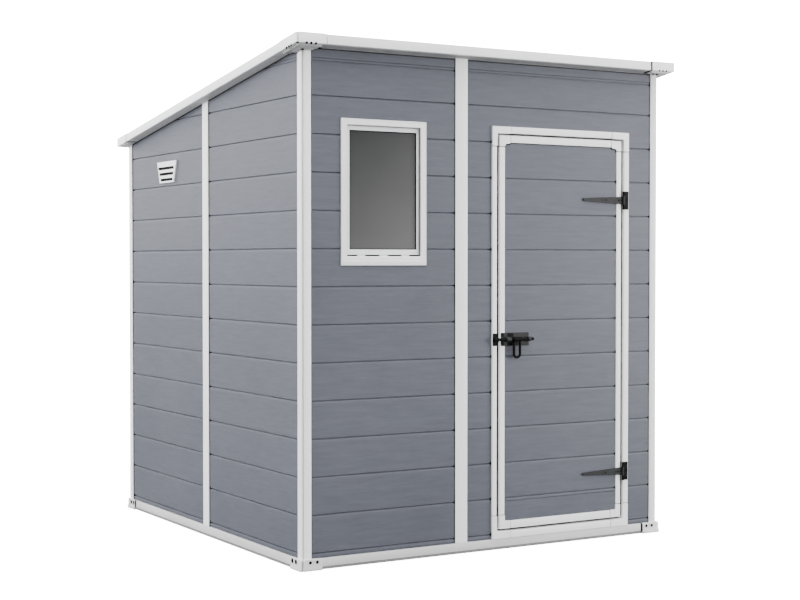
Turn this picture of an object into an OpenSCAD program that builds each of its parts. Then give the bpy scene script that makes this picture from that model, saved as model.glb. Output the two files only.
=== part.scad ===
// Plastic garden shed with a pent roof, one outward-opening door and one window.
// Millimetres. X runs along the front wall, Y from front to back, Z up from the ground.
// The origin is on the ground, under the middle of the roof.

/* [Overall] */
// Width over the faces of the side walls
wall_w = 1740; // [1640:10:2000]
// Depth over the faces of the front and back walls
wall_d = 1824; // [1600:8:2200]
// Height of the top of the roof at its front edge
roof_h = 2053; // [1980:1:2200]
// Fall of the roof to the back, in degrees
roof_slope = 8.15; // [6:0.05:10]

/* [Roof] */
// Reach of the roof past the front wall
front_overhang = 55; // [40:1:120]
// Reach of the roof past the back wall
back_overhang = 25; // [20:1:120]
// Reach of the roof past each side wall
side_overhang = 50; // [25:1:120]
// Upright height of the fascia boards
fascia_h = 39; // [30:1:60]
// Thickness of the fascia boards
fascia_t = 12; // [8:1:20]
// Fall from the fascia top to the roof panels
deck_drop = 6; // [2:1:15]
// Length of a corner cap along the front or back
cap_len_x = 125; // [60:5:200]
// Length of a front corner cap along a side
front_cap_len_y = 150; // [60:5:200]
// Length of a back corner cap along a side
back_cap_len_y = 115; // [60:5:200]
// Projection of the corner caps past the fascia boards
cap_proud = 2; // [1:0.5:6]

/* [Base] */
// Gap between the ground and the base rails
base_gap = 7; // [3:1:15]
// Height of the base rails
rail_h = 38; // [25:1:60]
// Width of the base rails
rail_w = 36; // [28:1:60]
// Projection of the base rails past the wall faces
rail_proud = 6; // [4:1:12]
// Length of each leg of a corner foot
foot_len = 90; // [60:5:160]
// Projection of the corner feet past the wall faces
foot_proud = 11; // [7:1:20]
// Thickness of the floor
floor_t = 24; // [12:1:38]

/* [Walls] */
// Thickness of the wall panels
wall_t = 20; // [14:1:30]
// Gap between the wall panels and the roof, which the posts carry
wall_top_gap = 0.3; // [0.1:0.1:3]
// Width of the corner posts
post_w = 42; // [34:1:60]
// Width of the posts between two wall panels
mid_post_w = 56; // [40:1:80]
// Depth of the posts between two wall panels
mid_post_t = 28; // [24:1:40]
// Projection of the posts past the wall faces
post_proud = 4; // [2:0.5:6]
// Radius on the outer corner of the corner posts
post_round = 6; // [3:1:10]
// Middle of the post between window and door
front_post_x = -148; // [-200:1:-100]

/* [Door frame] */
// Middle of the doorway
door_x = 356; // [340:1:365]
// Width of the door frame
door_w = 710; // [640:5:740]
// Drop from the roof's front edge to the tops of the door and window frames
head_drop = 311; // [240:1:500]
// Width of the jambs
jamb_w = 29; // [24:1:40]
// Height of the head
head_h = 28; // [20:1:45]
// Height of the sill
sill_h = 31; // [20:1:45]
// Projection of the door frame past the wall face
frame_proud = 8; // [6:1:12]
// Thickness of the stop behind the leaf
stop_t = 8; // [5:1:15]
// Width of the stop
stop_w = 16; // [12:1:24]

/* [Door leaf] */
// Thickness of the leaf
leaf_t = 28; // [20:1:40]
// Gap all round the leaf, and behind it to the stop
leaf_gap = 8; // [5:1:10]
// Setback of the leaf behind the frame
leaf_recess = 4; // [2:0.5:4]
// Width of the upright rims of the leaf
stile_w = 26; // [20:1:40]
// Height of the top and bottom rims of the leaf
leaf_rail_h = 32; // [20:1:50]
// Setback of the planked panel behind its rim
panel_recess = 4; // [2:1:8]

/* [Window] */
// Middle of the window
window_x = -509; // [-530:1:-500]
// Width of the window frame
window_w = 387; // [300:1:460]
// Height of the window frame
window_h = 570; // [400:5:700]
// Width of the window frame at the sides and the top
window_face = 27; // [20:1:40]
// Height of the window frame at the bottom
window_bottom = 41; // [30:1:60]
// Width of the sash at the sides
sash_w = 17; // [12:1:25]
// Height of the sash at the top and bottom
sash_h = 21; // [12:1:30]
// Projection of the window frame past the wall face
window_proud = 6; // [5:1:10]
// Setback of the sash behind the window frame
sash_recess = 6; // [3:1:7]
// Thickness of the sash
sash_t = 14; // [10:1:14]
// Thickness of the glazing
glass_t = 4; // [3:1:6]
// Wall of the window's lining
lining_t = 5; // [3:1:8]

/* [Vents] */
// Middle of a vent, measured from the middle of the depth
vent_y = 419; // [300:1:500]
// Drop from the roof's underside to the middle of a vent
vent_drop = 221; // [100:1:400]
// Width of a vent at its top
vent_top_w = 218; // [160:2:240]
// Width of a vent at its bottom
vent_bottom_w = 154; // [120:2:220]
// Height of a vent
vent_h = 97; // [80:1:120]
// Projection of a vent past the wall face
vent_proud = 8; // [6:1:14]
// Height of a vent slot
slot_h = 8; // [5:1:12]
// Spacing of the vent slots
slot_pitch = 25; // [20:1:30]

/* [Hinges] */
// Drop from the top of the door frame to the middle of the upper hinge
upper_hinge_drop = 291; // [150:1:400]
// Rise from the door sill's underside to the middle of the lower hinge
lower_hinge_rise = 237; // [150:1:400]
// Radius of the hinge barrels
barrel_r = 5; // [4.5:0.5:5.5]
// Distance from the frame's face to the hinge axis
barrel_stand = 4; // [3:0.5:6]
// Radius of the hinge pins
pin_r = 2.5; // [1.5:0.25:3]
// Radial clearance of the hinge pins
pin_clearance = 0.08; // [0.02:0.01:0.1]
// Height of the hinge plates
plate_h = 77; // [60:1:110]
// Width of the hinge plates from the axis
plate_w = 26; // [20:1:30]
// Thickness of the hinge plates
plate_t = 3; // [2:0.5:4]
// Height of each end knuckle
knuckle_h = 20; // [14:1:24]
// Gap between two knuckles
knuckle_gap = 0.5; // [0.3:0.1:1]
// Length of the straps from the axis to the tip
strap_len = 212; // [140:2:300]
// Width of the straps at the axis
strap_w = 33; // [26:1:35]
// Width of the straps at the tip
strap_tip_w = 12; // [8:1:20]
// Thickness of the straps
strap_t = 4; // [3:0.5:5]

/* [Slide bolt] */
// Rise from the door sill's underside to the bolt
bolt_rise = 822; // [600:1:1000]
// Radius of the bolt rod
rod_r = 6; // [4:0.5:7]
// Length of the bolt rod
rod_len = 171; // [165:1:200]
// Gap between the keeper and the tip of the drawn bolt
tip_gap = 6; // [5:0.5:10]
// Length of the rounded tip
tip_len = 4; // [2:0.5:6]
// Distance from the leaf's rim to the rod's axis
rod_stand = 13; // [12:0.5:15]
// Radial clearance of the rod in its guides
rod_clearance = 0.1; // [0.02:0.01:0.1]
// Length of the bolt's base plate
bolt_plate_len = 138; // [130:1:150]
// Height of the bolt's base plate
bolt_plate_h = 54; // [40:1:70]
// Thickness of the bolt's base plate
bolt_plate_t = 2.5; // [2:0.5:4]
// Distance from the rod's tip to the base plate at rest
plate_from_tip = 17; // [10:1:20]
// Outer radius of the guides
guide_r = 9; // [8:0.5:11]
// Length of the left guide
guide_len = 22; // [14:1:26]
// Length of the right guide
end_guide_len = 12; // [8:1:14]
// Distance from the plate's left end to the left guide
guide_inset = 19; // [10:1:20]
// Width of the keeper
keeper_w = 20; // [14:1:24]
// Height of the keeper
keeper_h = 50; // [40:1:70]
// Distance from the jamb's outer edge to the keeper
keeper_inset = 0; // [0:1:3]
// Outer width of the loop handle
handle_w = 38; // [30:1:42]
// Drop of the loop handle below the rod's axis
handle_drop = 79; // [60:1:100]
// Radius of the wire of the loop handle
wire_r = 4; // [3:0.5:5]
// Outer radius of the hub of the loop handle
hub_r = 8.5; // [8:0.5:9]
// Distance from the plate's left end to the middle of the handle
handle_from_plate = 72; // [68:1:80]
// Width of the two collars on the rod
collar_w = 3; // [2:0.5:4]
// Gap between the handle's hub and the collars
collar_gap = 0.4; // [0.3:0.1:1]

/* [Hidden] */
$fn = 48;

// Colours
panel_grey = [0.50, 0.51, 0.55];
trim_white = [0.87, 0.87, 0.87];
floor_grey = [0.42, 0.43, 0.45];
glazing_grey = [0.35, 0.35, 0.36];
black_iron = [0.09, 0.09, 0.09];

// Overlap of two shapes that are joined in one solid
join = 0.5;

// Main faces
side_x = wall_w / 2;
front_y = front_overhang - (wall_d + front_overhang + back_overhang) / 2;
back_y = front_y + wall_d;
mid_y = (front_y + back_y) / 2;
roof_x = side_x + side_overhang;
roof_front_y = front_y - front_overhang;
roof_back_y = back_y + back_overhang;
base_top = base_gap + rail_h;
rail_in_x = side_x + rail_proud - rail_w;
rail_in_front_y = front_y - rail_proud + rail_w;
rail_in_back_y = back_y + rail_proud - rail_w;
post_in_x = side_x + post_proud - post_w;
post_in_front_y = front_y - post_proud + post_w;
post_in_back_y = back_y + post_proud - post_w;

// Doorway and leaf
frame_x0 = door_x - door_w / 2;
frame_x1 = door_x + door_w / 2;
frame_z1 = roof_h - head_drop;
frame_y = front_y - frame_proud;
leaf_x0 = frame_x0 + jamb_w + leaf_gap;
leaf_x1 = frame_x1 - jamb_w - leaf_gap;
leaf_z0 = base_top + sill_h + leaf_gap;
leaf_z1 = frame_z1 - head_h - leaf_gap;
leaf_y = frame_y + leaf_recess;
stop_y = leaf_y + leaf_t + leaf_gap;
frame_back_y = stop_y + stop_t;

// Window
window_x0 = window_x - window_w / 2;
window_x1 = window_x + window_w / 2;
window_z1 = frame_z1;
window_z0 = window_z1 - window_h;
sash_x0 = window_x0 + window_face;
sash_x1 = window_x1 - window_face;
sash_z0 = window_z0 + window_bottom;
sash_z1 = window_z1 - window_face;
sash_y = front_y - window_proud + sash_recess;

// Hinge and bolt axes
hinge_x = leaf_x1 + leaf_gap / 2;
hinge_y = frame_y - barrel_stand;
upper_hinge_z = frame_z1 - upper_hinge_drop;
lower_hinge_z = base_top + lower_hinge_rise;
bolt_z = base_top + bolt_rise;
rod_y = leaf_y - rod_stand;
keeper_x0 = frame_x0 + keeper_inset;
keeper_x1 = keeper_x0 + keeper_w;
rod_x0 = keeper_x1 + tip_gap;
rod_x1 = rod_x0 + rod_len;
bolt_plate_x0 = rod_x0 + plate_from_tip;
bolt_plate_x1 = bolt_plate_x0 + bolt_plate_len;
handle_x = bolt_plate_x0 + handle_from_plate;
hub_x0 = handle_x - handle_w / 2;
hub_x1 = handle_x + handle_w / 2;

// Height of the roof's top surface and of its underside at a depth y
function roof_top(y) = roof_h - (y - roof_front_y) * tan(roof_slope);
function roof_under(y) = roof_top(y) - fascia_h;
vent_z = roof_under(mid_y + vent_y) - vent_drop;

// A straight block between two corners
module block(x0, x1, y0, y1, z0, z1) {
    translate([x0, y0, z0])
        cube([x1 - x0, y1 - y0, z1 - z0]);
}

// An outline in Y and Z, drawn from x0 to x1
module side_outline(x0, x1, points) {
    translate([x0, 0, 0])
        rotate([90, 0, 90])
            linear_extrude(height = x1 - x0)
                polygon(points);
}

// A block whose top follows the underside of the roof, gap below it
module under_roof(x0, x1, y0, y1, z0, gap = 0) {
    side_outline(x0, x1, [
        [y0, z0],
        [y1, z0],
        [y1, roof_under(y1) - gap],
        [y0, roof_under(y0) - gap]
    ]);
}

// A strip of the roof between its underside and drop below its top
module roof_strip(x0, x1, y0, y1, drop) {
    side_outline(x0, x1, [
        [y0, roof_under(y0)],
        [y1, roof_under(y1)],
        [y1, roof_top(y1) - drop],
        [y0, roof_top(y0) - drop]
    ]);
}

// A cylinder along X
module rod_along_x(x0, x1, r) {
    translate([x0, rod_y, bolt_z])
        rotate([0, 90, 0])
            cylinder(h = x1 - x0, r = r);
}

// A cylinder along the hinge axis
module on_hinge_axis(z0, z1, r) {
    translate([hinge_x, hinge_y, z0])
        cylinder(h = z1 - z0, r = r);
}

// Base

// sx and sy are -1 or 1 and choose the corner
module foot(sx, sy) {
    corner_y = sy < 0 ? front_y - foot_proud : back_y + foot_proud;
    leg_t = rail_w - rail_proud + foot_proud;
    color(trim_white)
        translate([sx * (side_x + foot_proud), corner_y, 0])
            mirror([sx > 0 ? 1 : 0, 0, 0])
                mirror([0, sy > 0 ? 1 : 0, 0])
                    union() {
                        cube([foot_len, leg_t, base_top]);
                        cube([leg_t, foot_len, base_top]);
                    }
}
foot_end_x = side_x + foot_proud - foot_len;
foot_end_front_y = front_y - foot_proud + foot_len;
foot_end_back_y = back_y + foot_proud - foot_len;

module base_rail_front() {
    color(trim_white)
        block(-foot_end_x, foot_end_x, front_y - rail_proud, rail_in_front_y, base_gap, base_top);
}

module base_rail_back() {
    color(trim_white)
        block(-foot_end_x, foot_end_x, rail_in_back_y, back_y + rail_proud, base_gap, base_top);
}

module base_rail_side(sx) {
    color(trim_white)
        mirror([sx < 0 ? 1 : 0, 0, 0])
            block(rail_in_x, side_x + rail_proud, foot_end_front_y, foot_end_back_y, base_gap, base_top);
}

module floor_panel() {
    color(floor_grey)
        block(-rail_in_x, rail_in_x, rail_in_front_y, rail_in_back_y, base_top - floor_t, base_top);
}

// Posts

module corner_post(sx, sy) {
    out_x = side_x + post_proud;
    y0 = sy < 0 ? front_y - post_proud : post_in_back_y;
    y1 = sy < 0 ? post_in_front_y : back_y + post_proud;
    round_y = sy < 0 ? y0 + post_round : y1 - post_round;
    color(trim_white)
        mirror([sx < 0 ? 1 : 0, 0, 0])
            intersection() {
                under_roof(post_in_x, out_x, y0, y1, base_top);
                linear_extrude(height = roof_h)
                    union() {
                        translate([post_in_x, y0])
                            square([post_w - post_round, post_w]);
                        translate([post_in_x, sy < 0 ? y0 + post_round : y0])
                            square([post_w, post_w - post_round]);
                        translate([out_x - post_round, round_y])
                            circle(r = post_round);
                    }
            }
}

module mid_post_front() {
    color(trim_white)
        under_roof(
            front_post_x - mid_post_w / 2, front_post_x + mid_post_w / 2,
            front_y - post_proud, front_y - post_proud + mid_post_t, base_top
        );
}

module mid_post_back() {
    color(trim_white)
        under_roof(
            -mid_post_w / 2, mid_post_w / 2,
            back_y + post_proud - mid_post_t, back_y + post_proud, base_top
        );
}

module mid_post_side(sx) {
    color(trim_white)
        mirror([sx < 0 ? 1 : 0, 0, 0])
            under_roof(
                side_x + post_proud - mid_post_t, side_x + post_proud,
                mid_y - mid_post_w / 2, mid_y + mid_post_w / 2, base_top
            );
}

// Walls

module front_wall(x0, x1, z0) {
    under_roof(x0, x1, front_y, front_y + wall_t, z0, wall_top_gap);
}

module wall_front_window() {
    color(panel_grey)
        difference() {
            front_wall(-post_in_x, front_post_x - mid_post_w / 2, base_top);
            block(
                sash_x0 - lining_t, sash_x1 + lining_t,
                front_y - wall_t, front_y + 2 * wall_t,
                sash_z0 - lining_t, sash_z1 + lining_t
            );
        }
}

module wall_beside_door_left() {
    color(panel_grey)
        front_wall(front_post_x + mid_post_w / 2, frame_x0, base_top);
}

module wall_beside_door_right() {
    color(panel_grey)
        front_wall(frame_x1, post_in_x, base_top);
}

module wall_over_door() {
    color(panel_grey)
        front_wall(frame_x0, frame_x1, frame_z1);
}

// Two panels with a vent hole in the rear one
module side_wall(sx) {
    hole_w = vent_bottom_w - 2 * vent_proud;
    hole_h = 2 * slot_pitch + slot_h;
    color(panel_grey)
        mirror([sx < 0 ? 1 : 0, 0, 0])
            difference() {
                union() {
                    under_roof(
                        side_x - wall_t, side_x, post_in_front_y, mid_y - mid_post_w / 2,
                        base_top, wall_top_gap
                    );
                    under_roof(
                        side_x - wall_t, side_x, mid_y + mid_post_w / 2, post_in_back_y,
                        base_top, wall_top_gap
                    );
                }
                block(
                    side_x - 2 * wall_t, side_x + wall_t,
                    mid_y + vent_y - hole_w / 2, mid_y + vent_y + hole_w / 2,
                    vent_z - hole_h / 2, vent_z + hole_h / 2
                );
            }
}

module wall_back() {
    color(panel_grey)
        union() {
            under_roof(-post_in_x, -mid_post_w / 2, back_y - wall_t, back_y, base_top, wall_top_gap);
            under_roof(mid_post_w / 2, post_in_x, back_y - wall_t, back_y, base_top, wall_top_gap);
        }
}

// Window

module window_frame() {
    color(trim_white)
        difference() {
            union() {
                block(window_x0, window_x1, front_y - window_proud, front_y, window_z0, window_z1);
                block(
                    sash_x0 - lining_t, sash_x1 + lining_t,
                    front_y - join, front_y + wall_t,
                    sash_z0 - lining_t, sash_z1 + lining_t
                );
            }
            block(sash_x0, sash_x1, front_y - wall_t, front_y + 2 * wall_t, sash_z0, sash_z1);
        }
}

module window_sash() {
    color(trim_white)
        difference() {
            block(sash_x0, sash_x1, sash_y, sash_y + sash_t, sash_z0, sash_z1);
            block(
                sash_x0 + sash_w, sash_x1 - sash_w,
                sash_y - sash_t, sash_y + 2 * sash_t,
                sash_z0 + sash_h, sash_z1 - sash_h
            );
        }
}

module window_glass() {
    glass_y = sash_y + (sash_t - glass_t) / 2;
    color(glazing_grey)
        block(
            sash_x0 + sash_w, sash_x1 - sash_w, glass_y, glass_y + glass_t,
            sash_z0 + sash_h, sash_z1 - sash_h
        );
}

// Vents

module vent(sx) {
    slot_w = vent_bottom_w - 4 * vent_proud;
    mirror([sx < 0 ? 1 : 0, 0, 0])
        difference() {
            side_outline(side_x, side_x + vent_proud, [
                [mid_y + vent_y - vent_bottom_w / 2, vent_z - vent_h / 2],
                [mid_y + vent_y + vent_bottom_w / 2, vent_z - vent_h / 2],
                [mid_y + vent_y + vent_top_w / 2, vent_z + vent_h / 2],
                [mid_y + vent_y - vent_top_w / 2, vent_z + vent_h / 2]
            ]);
            for (row = [-1:1])
                block(
                    side_x - vent_proud, side_x + 2 * vent_proud,
                    mid_y + vent_y - slot_w / 2, mid_y + vent_y + slot_w / 2,
                    vent_z + row * slot_pitch - slot_h / 2, vent_z + row * slot_pitch + slot_h / 2
                );
        }
}

module side_vents() {
    color(trim_white)
        union() {
            vent(-1);
            vent(1);
        }
}

// Roof

module roof_panel(sx) {
    color(trim_white)
        mirror([sx < 0 ? 1 : 0, 0, 0])
            roof_strip(
                0, roof_x - fascia_t - cap_proud,
                roof_front_y + fascia_t + cap_proud, roof_back_y - fascia_t - cap_proud, deck_drop
            );
}

module fascia_front() {
    color(trim_white)
        roof_strip(
            cap_len_x - roof_x, roof_x - cap_len_x,
            roof_front_y + cap_proud, roof_front_y + cap_proud + fascia_t, 0
        );
}

module fascia_back() {
    color(trim_white)
        roof_strip(
            cap_len_x - roof_x, roof_x - cap_len_x,
            roof_back_y - cap_proud - fascia_t, roof_back_y - cap_proud, 0
        );
}

module fascia_side(sx) {
    color(trim_white)
        mirror([sx < 0 ? 1 : 0, 0, 0])
            roof_strip(
                roof_x - cap_proud - fascia_t, roof_x - cap_proud,
                roof_front_y + front_cap_len_y, roof_back_y - back_cap_len_y, 0
            );
}

module corner_cap(sx, sy) {
    t = fascia_t + cap_proud;
    mirror([sx < 0 ? 1 : 0, 0, 0])
        if (sy < 0) {
            union() {
                roof_strip(roof_x - cap_len_x, roof_x, roof_front_y, roof_front_y + t, 0);
                roof_strip(roof_x - t, roof_x, roof_front_y, roof_front_y + front_cap_len_y, 0);
            }
        } else {
            union() {
                roof_strip(roof_x - cap_len_x, roof_x, roof_back_y - t, roof_back_y, 0);
                roof_strip(roof_x - t, roof_x, roof_back_y - back_cap_len_y, roof_back_y, 0);
            }
        }
}

module roof_corner_caps() {
    color(trim_white)
        union() {
            corner_cap(-1, -1);
            corner_cap(1, -1);
            corner_cap(-1, 1);
            corner_cap(1, 1);
        }
}

// Door frame and leaf

module door_frame() {
    color(trim_white)
        difference() {
            block(frame_x0, frame_x1, frame_y, frame_back_y, base_top, frame_z1);
            block(
                frame_x0 + jamb_w, frame_x1 - jamb_w, frame_y - join, frame_back_y + join,
                base_top + sill_h, frame_z1 - head_h
            );
        }
}

// The leaf closes in front of this ring
module door_stop() {
    color(trim_white)
        difference() {
            block(
                frame_x0 + jamb_w, frame_x1 - jamb_w, stop_y, frame_back_y,
                base_top + sill_h, frame_z1 - head_h
            );
            block(
                frame_x0 + jamb_w + stop_w, frame_x1 - jamb_w - stop_w,
                stop_y - join, frame_back_y + join,
                base_top + sill_h + stop_w, frame_z1 - head_h - stop_w
            );
        }
}

module door_panel() {
    color(panel_grey)
        block(
            leaf_x0 + stile_w, leaf_x1 - stile_w, leaf_y + panel_recess, leaf_y + leaf_t,
            leaf_z0 + leaf_rail_h, leaf_z1 - leaf_rail_h
        );
}

module door_rim() {
    color(trim_white)
        difference() {
            block(leaf_x0, leaf_x1, leaf_y, leaf_y + leaf_t, leaf_z0, leaf_z1);
            block(
                leaf_x0 + stile_w, leaf_x1 - stile_w, leaf_y - leaf_t, leaf_y + 2 * leaf_t,
                leaf_z0 + leaf_rail_h, leaf_z1 - leaf_rail_h
            );
        }
}

// Hinges

// A plate on the jamb with two knuckles and the pin
module hinge_plate(z) {
    z0 = z - plate_h / 2;
    z1 = z + plate_h / 2;
    union() {
        difference() {
            block(hinge_x, hinge_x + plate_w, frame_y - plate_t, frame_y, z0, z1);
            on_hinge_axis(
                z0 + knuckle_h, z1 - knuckle_h, barrel_r + knuckle_gap
            );
        }
        on_hinge_axis(z0, z0 + knuckle_h, barrel_r);
        on_hinge_axis(z1 - knuckle_h, z1, barrel_r);
        on_hinge_axis(z0 + join, z1 - join, pin_r);
    }
}

module hinge_plates() {
    color(black_iron)
        union() {
            hinge_plate(upper_hinge_z);
            hinge_plate(lower_hinge_z);
        }
}

// A tapered strap on the leaf with the middle knuckle
module hinge_strap(z) {
    knuckle_z0 = z - plate_h / 2 + knuckle_h + knuckle_gap;
    knuckle_z1 = z + plate_h / 2 - knuckle_h - knuckle_gap;
    tip_r = strap_tip_w / 2;
    tip_x = hinge_x - strap_len + tip_r;
    difference() {
        union() {
            translate([0, leaf_y, z])
                rotate([90, 0, 0])
                    linear_extrude(height = strap_t)
                        union() {
                            polygon([
                                [hinge_x, -strap_w / 2], [hinge_x, strap_w / 2],
                                [tip_x, tip_r], [tip_x, -tip_r]
                            ]);
                            translate([tip_x, 0])
                                circle(r = tip_r);
                        }
            on_hinge_axis(knuckle_z0, knuckle_z1, barrel_r);
        }
        on_hinge_axis(z - plate_h, z + plate_h, pin_r + pin_clearance);
    }
}

module hinge_straps() {
    color(black_iron)
        union() {
            hinge_strap(upper_hinge_z);
            hinge_strap(lower_hinge_z);
        }
}

// Slide bolt

// A saddle over the rod, from the plane base_y to the top of the guide
module saddle(x0, x1, base_y) {
    union() {
        rod_along_x(x0, x1, guide_r);
        block(x0, x1, rod_y, base_y, bolt_z - guide_r, bolt_z + guide_r);
    }
}

module bolt_keeper() {
    color(black_iron)
        difference() {
            union() {
                block(
                    keeper_x0, keeper_x1, frame_y - bolt_plate_t, frame_y,
                    bolt_z - keeper_h / 2, bolt_z + keeper_h / 2
                );
                intersection() {
                    saddle(keeper_x0, keeper_x1, frame_y);
                    block(
                        keeper_x0, keeper_x1, rod_y - 2 * guide_r, frame_y,
                        bolt_z - keeper_h, bolt_z + keeper_h
                    );
                }
            }
            rod_along_x(keeper_x0 - join, keeper_x1 + join, rod_r + rod_clearance);
        }
}

// The base plate is packed out where it passes over the planked panel
module bolt_plate() {
    z0 = bolt_z - bolt_plate_h / 2;
    z1 = bolt_z + bolt_plate_h / 2;
    color(black_iron)
        difference() {
            union() {
                block(bolt_plate_x0, bolt_plate_x1, leaf_y - bolt_plate_t, leaf_y, z0, z1);
                block(
                    leaf_x0 + stile_w, bolt_plate_x1, leaf_y - join, leaf_y + panel_recess, z0, z1
                );
                saddle(
                    bolt_plate_x0 + guide_inset, bolt_plate_x0 + guide_inset + guide_len, leaf_y - join
                );
                saddle(bolt_plate_x1 - end_guide_len, bolt_plate_x1, leaf_y - join);
            }
            rod_along_x(bolt_plate_x0 - join, bolt_plate_x1 + join, rod_r + rod_clearance);
        }
}

module bolt_rod() {
    collar_r = hub_r - collar_gap;
    color(black_iron)
        union() {
            translate([rod_x0, rod_y, bolt_z])
                rotate([0, 90, 0])
                    cylinder(h = tip_len, r1 = rod_r / 2, r2 = rod_r);
            rod_along_x(rod_x0 + tip_len, rod_x1, rod_r);
            rod_along_x(hub_x0 - collar_gap - collar_w, hub_x0 - collar_gap, collar_r);
            rod_along_x(hub_x1 + collar_gap, hub_x1 + collar_gap + collar_w, collar_r);
        }
}

module bolt_handle() {
    leg_x = handle_w / 2 - wire_r;
    bend_z = bolt_z - handle_drop + wire_r + leg_x;
    color(black_iron)
        difference() {
            union() {
                rod_along_x(hub_x0, hub_x1, hub_r);
                for (side = [-1, 1])
                    translate([handle_x + side * leg_x, rod_y, bend_z])
                        cylinder(h = bolt_z - bend_z, r = wire_r);
                translate([handle_x, rod_y, bend_z])
                    rotate([90, 0, 0])
                        rotate([0, 0, 180])
                            rotate_extrude(angle = 180)
                                translate([leg_x, 0])
                                    circle(r = wire_r);
            }
            rod_along_x(hub_x0 - join, hub_x1 + join, rod_r + rod_clearance);
        }
}

foot(-1, -1);  // foot_front_left
foot(1, -1);  // foot_front_right
foot(-1, 1);  // foot_back_left
foot(1, 1);  // foot_back_right
base_rail_front();
base_rail_back();
base_rail_side(-1);  // base_rail_left
base_rail_side(1);  // base_rail_right
floor_panel();  // floor
corner_post(-1, -1);  // post_front_left
corner_post(1, -1);  // post_front_right
corner_post(-1, 1);  // post_back_left
corner_post(1, 1);  // post_back_right
mid_post_front();
mid_post_back();
mid_post_side(-1);  // mid_post_left
mid_post_side(1);  // mid_post_right
wall_front_window();
wall_beside_door_left();
wall_beside_door_right();
wall_over_door();
side_wall(-1);  // wall_left
side_wall(1);  // wall_right
wall_back();
window_frame();
window_sash();
window_glass();
side_vents();
roof_panel(-1);  // roof_panel_left
roof_panel(1);  // roof_panel_right
fascia_front();
fascia_back();
fascia_side(-1);  // fascia_left
fascia_side(1);  // fascia_right
roof_corner_caps();
door_frame();
door_stop();
hinge_plates();
bolt_keeper();
door_panel();
door_rim();
hinge_straps();
bolt_plate();
bolt_rod();
bolt_handle();
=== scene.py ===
import math

import bmesh
import bpy
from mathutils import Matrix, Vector, noise


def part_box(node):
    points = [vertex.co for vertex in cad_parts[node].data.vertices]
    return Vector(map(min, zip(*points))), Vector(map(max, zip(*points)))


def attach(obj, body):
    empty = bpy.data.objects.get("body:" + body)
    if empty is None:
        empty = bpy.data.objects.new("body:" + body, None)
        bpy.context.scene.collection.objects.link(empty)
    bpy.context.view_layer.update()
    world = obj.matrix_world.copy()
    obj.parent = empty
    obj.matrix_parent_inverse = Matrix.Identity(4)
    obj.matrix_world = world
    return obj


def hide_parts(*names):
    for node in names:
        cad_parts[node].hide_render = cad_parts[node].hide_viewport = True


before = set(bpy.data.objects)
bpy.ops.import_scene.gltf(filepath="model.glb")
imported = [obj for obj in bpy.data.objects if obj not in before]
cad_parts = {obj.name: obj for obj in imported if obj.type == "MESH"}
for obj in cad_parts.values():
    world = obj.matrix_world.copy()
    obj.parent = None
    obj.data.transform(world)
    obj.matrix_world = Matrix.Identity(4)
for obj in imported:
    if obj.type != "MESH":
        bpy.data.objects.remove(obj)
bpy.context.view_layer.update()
print("frame loaded with", len(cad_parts), "parts")


class Values(dict):
    __getattr__ = dict.__getitem__


# lengths are in millimetres until a shape becomes a piece

def cad(node):
    low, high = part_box(node)
    return low * 1000, high * 1000


# camera and studio

view = Values(place=(-3.5725, -6.195, 1.1844), lens=70.03, tilt=88.615, turn=-30.628, reach=200)
# each lamp's place, the point it is aimed at, its size and its power
lamps = {
    "leftBank": ((-4.8, 1.2, 2.5), (-0.9, 0.4, 1.3), (3.0, 2.0), 172),
    "leftRear": ((-2.0, 6.5, 2.6), (-0.9, 0.4, 1.3), (3.0, 2.5), 47),
    "rightBank": ((4.6, -4.4, 1.7), (0.9, -0.9, 1.2), (2.5, 2.0), 104),
    "rightLow": ((5.0, -3.6, 0.8), (0.9, -0.9, 0.8), (2.5, 1.2), 73),
    "topSoft": ((-0.5, -1.0, 6.5), (0, 0, 0), (5.0, 5.0), 462),
}


def addThing(name, data):
    thing = bpy.data.objects.new(name, data)
    bpy.context.collection.objects.link(thing)
    return thing


cameraData = bpy.data.cameras.new("studioCamera")
cameraData.lens, cameraData.clip_end = view.lens, view.reach
studioCamera = addThing("studioCamera", cameraData)
studioCamera.location = view.place
studioCamera.rotation_euler = (math.radians(view.tilt), 0, math.radians(view.turn))
bpy.context.scene.camera = studioCamera

for name, (place, aim, size, power) in lamps.items():
    data = bpy.data.lights.new(name, "AREA")
    data.shape, data.energy = "RECTANGLE", power
    data.size, data.size_y = size
    thing = addThing(name, data)
    thing.location = place
    thing.rotation_euler = (Vector(aim) - Vector(place)).to_track_quat("-Z", "Y").to_euler()
    thing.visible_camera = False


# materials

def setInputs(tree, node, values):
    for key, value in values.items():
        if isinstance(value, bpy.types.NodeSocket):
            tree.links.new(value, node.inputs[key])
        else:
            node.inputs[key].default_value = value


def addNode(tree, kind, values=None, **settings):
    made = tree.nodes.new("ShaderNode" + kind)
    for key, value in settings.items():
        setattr(made, key, value)
    setInputs(tree, made, values or {})
    return made.outputs


def doMath(tree, operation, a, b):
    return addNode(tree, "Math", {0: a, 1: b}, operation=operation)[0]


def plus(tree, a, b):
    return doMath(tree, "ADD", a, b)


def times(tree, a, b):
    return doMath(tree, "MULTIPLY", a, b)


def spread(tree, value, low, high, fromLow=0.3, fromHigh=0.7):
    return addNode(tree, "MapRange", {0: value, 1: fromLow, 2: fromHigh, 3: low, 4: high})[0]


def placeOf(tree, kind="Object"):
    return addNode(tree, "TexCoord")[kind]


def split(tree, vector):
    return addNode(tree, "SeparateXYZ", {0: vector})


def cloud(tree, spot, scale, detail, rough=0.5):
    return addNode(tree, "TexNoise", {"Vector": spot, "Scale": scale, "Detail": detail, "Roughness": rough})["Fac"]


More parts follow.
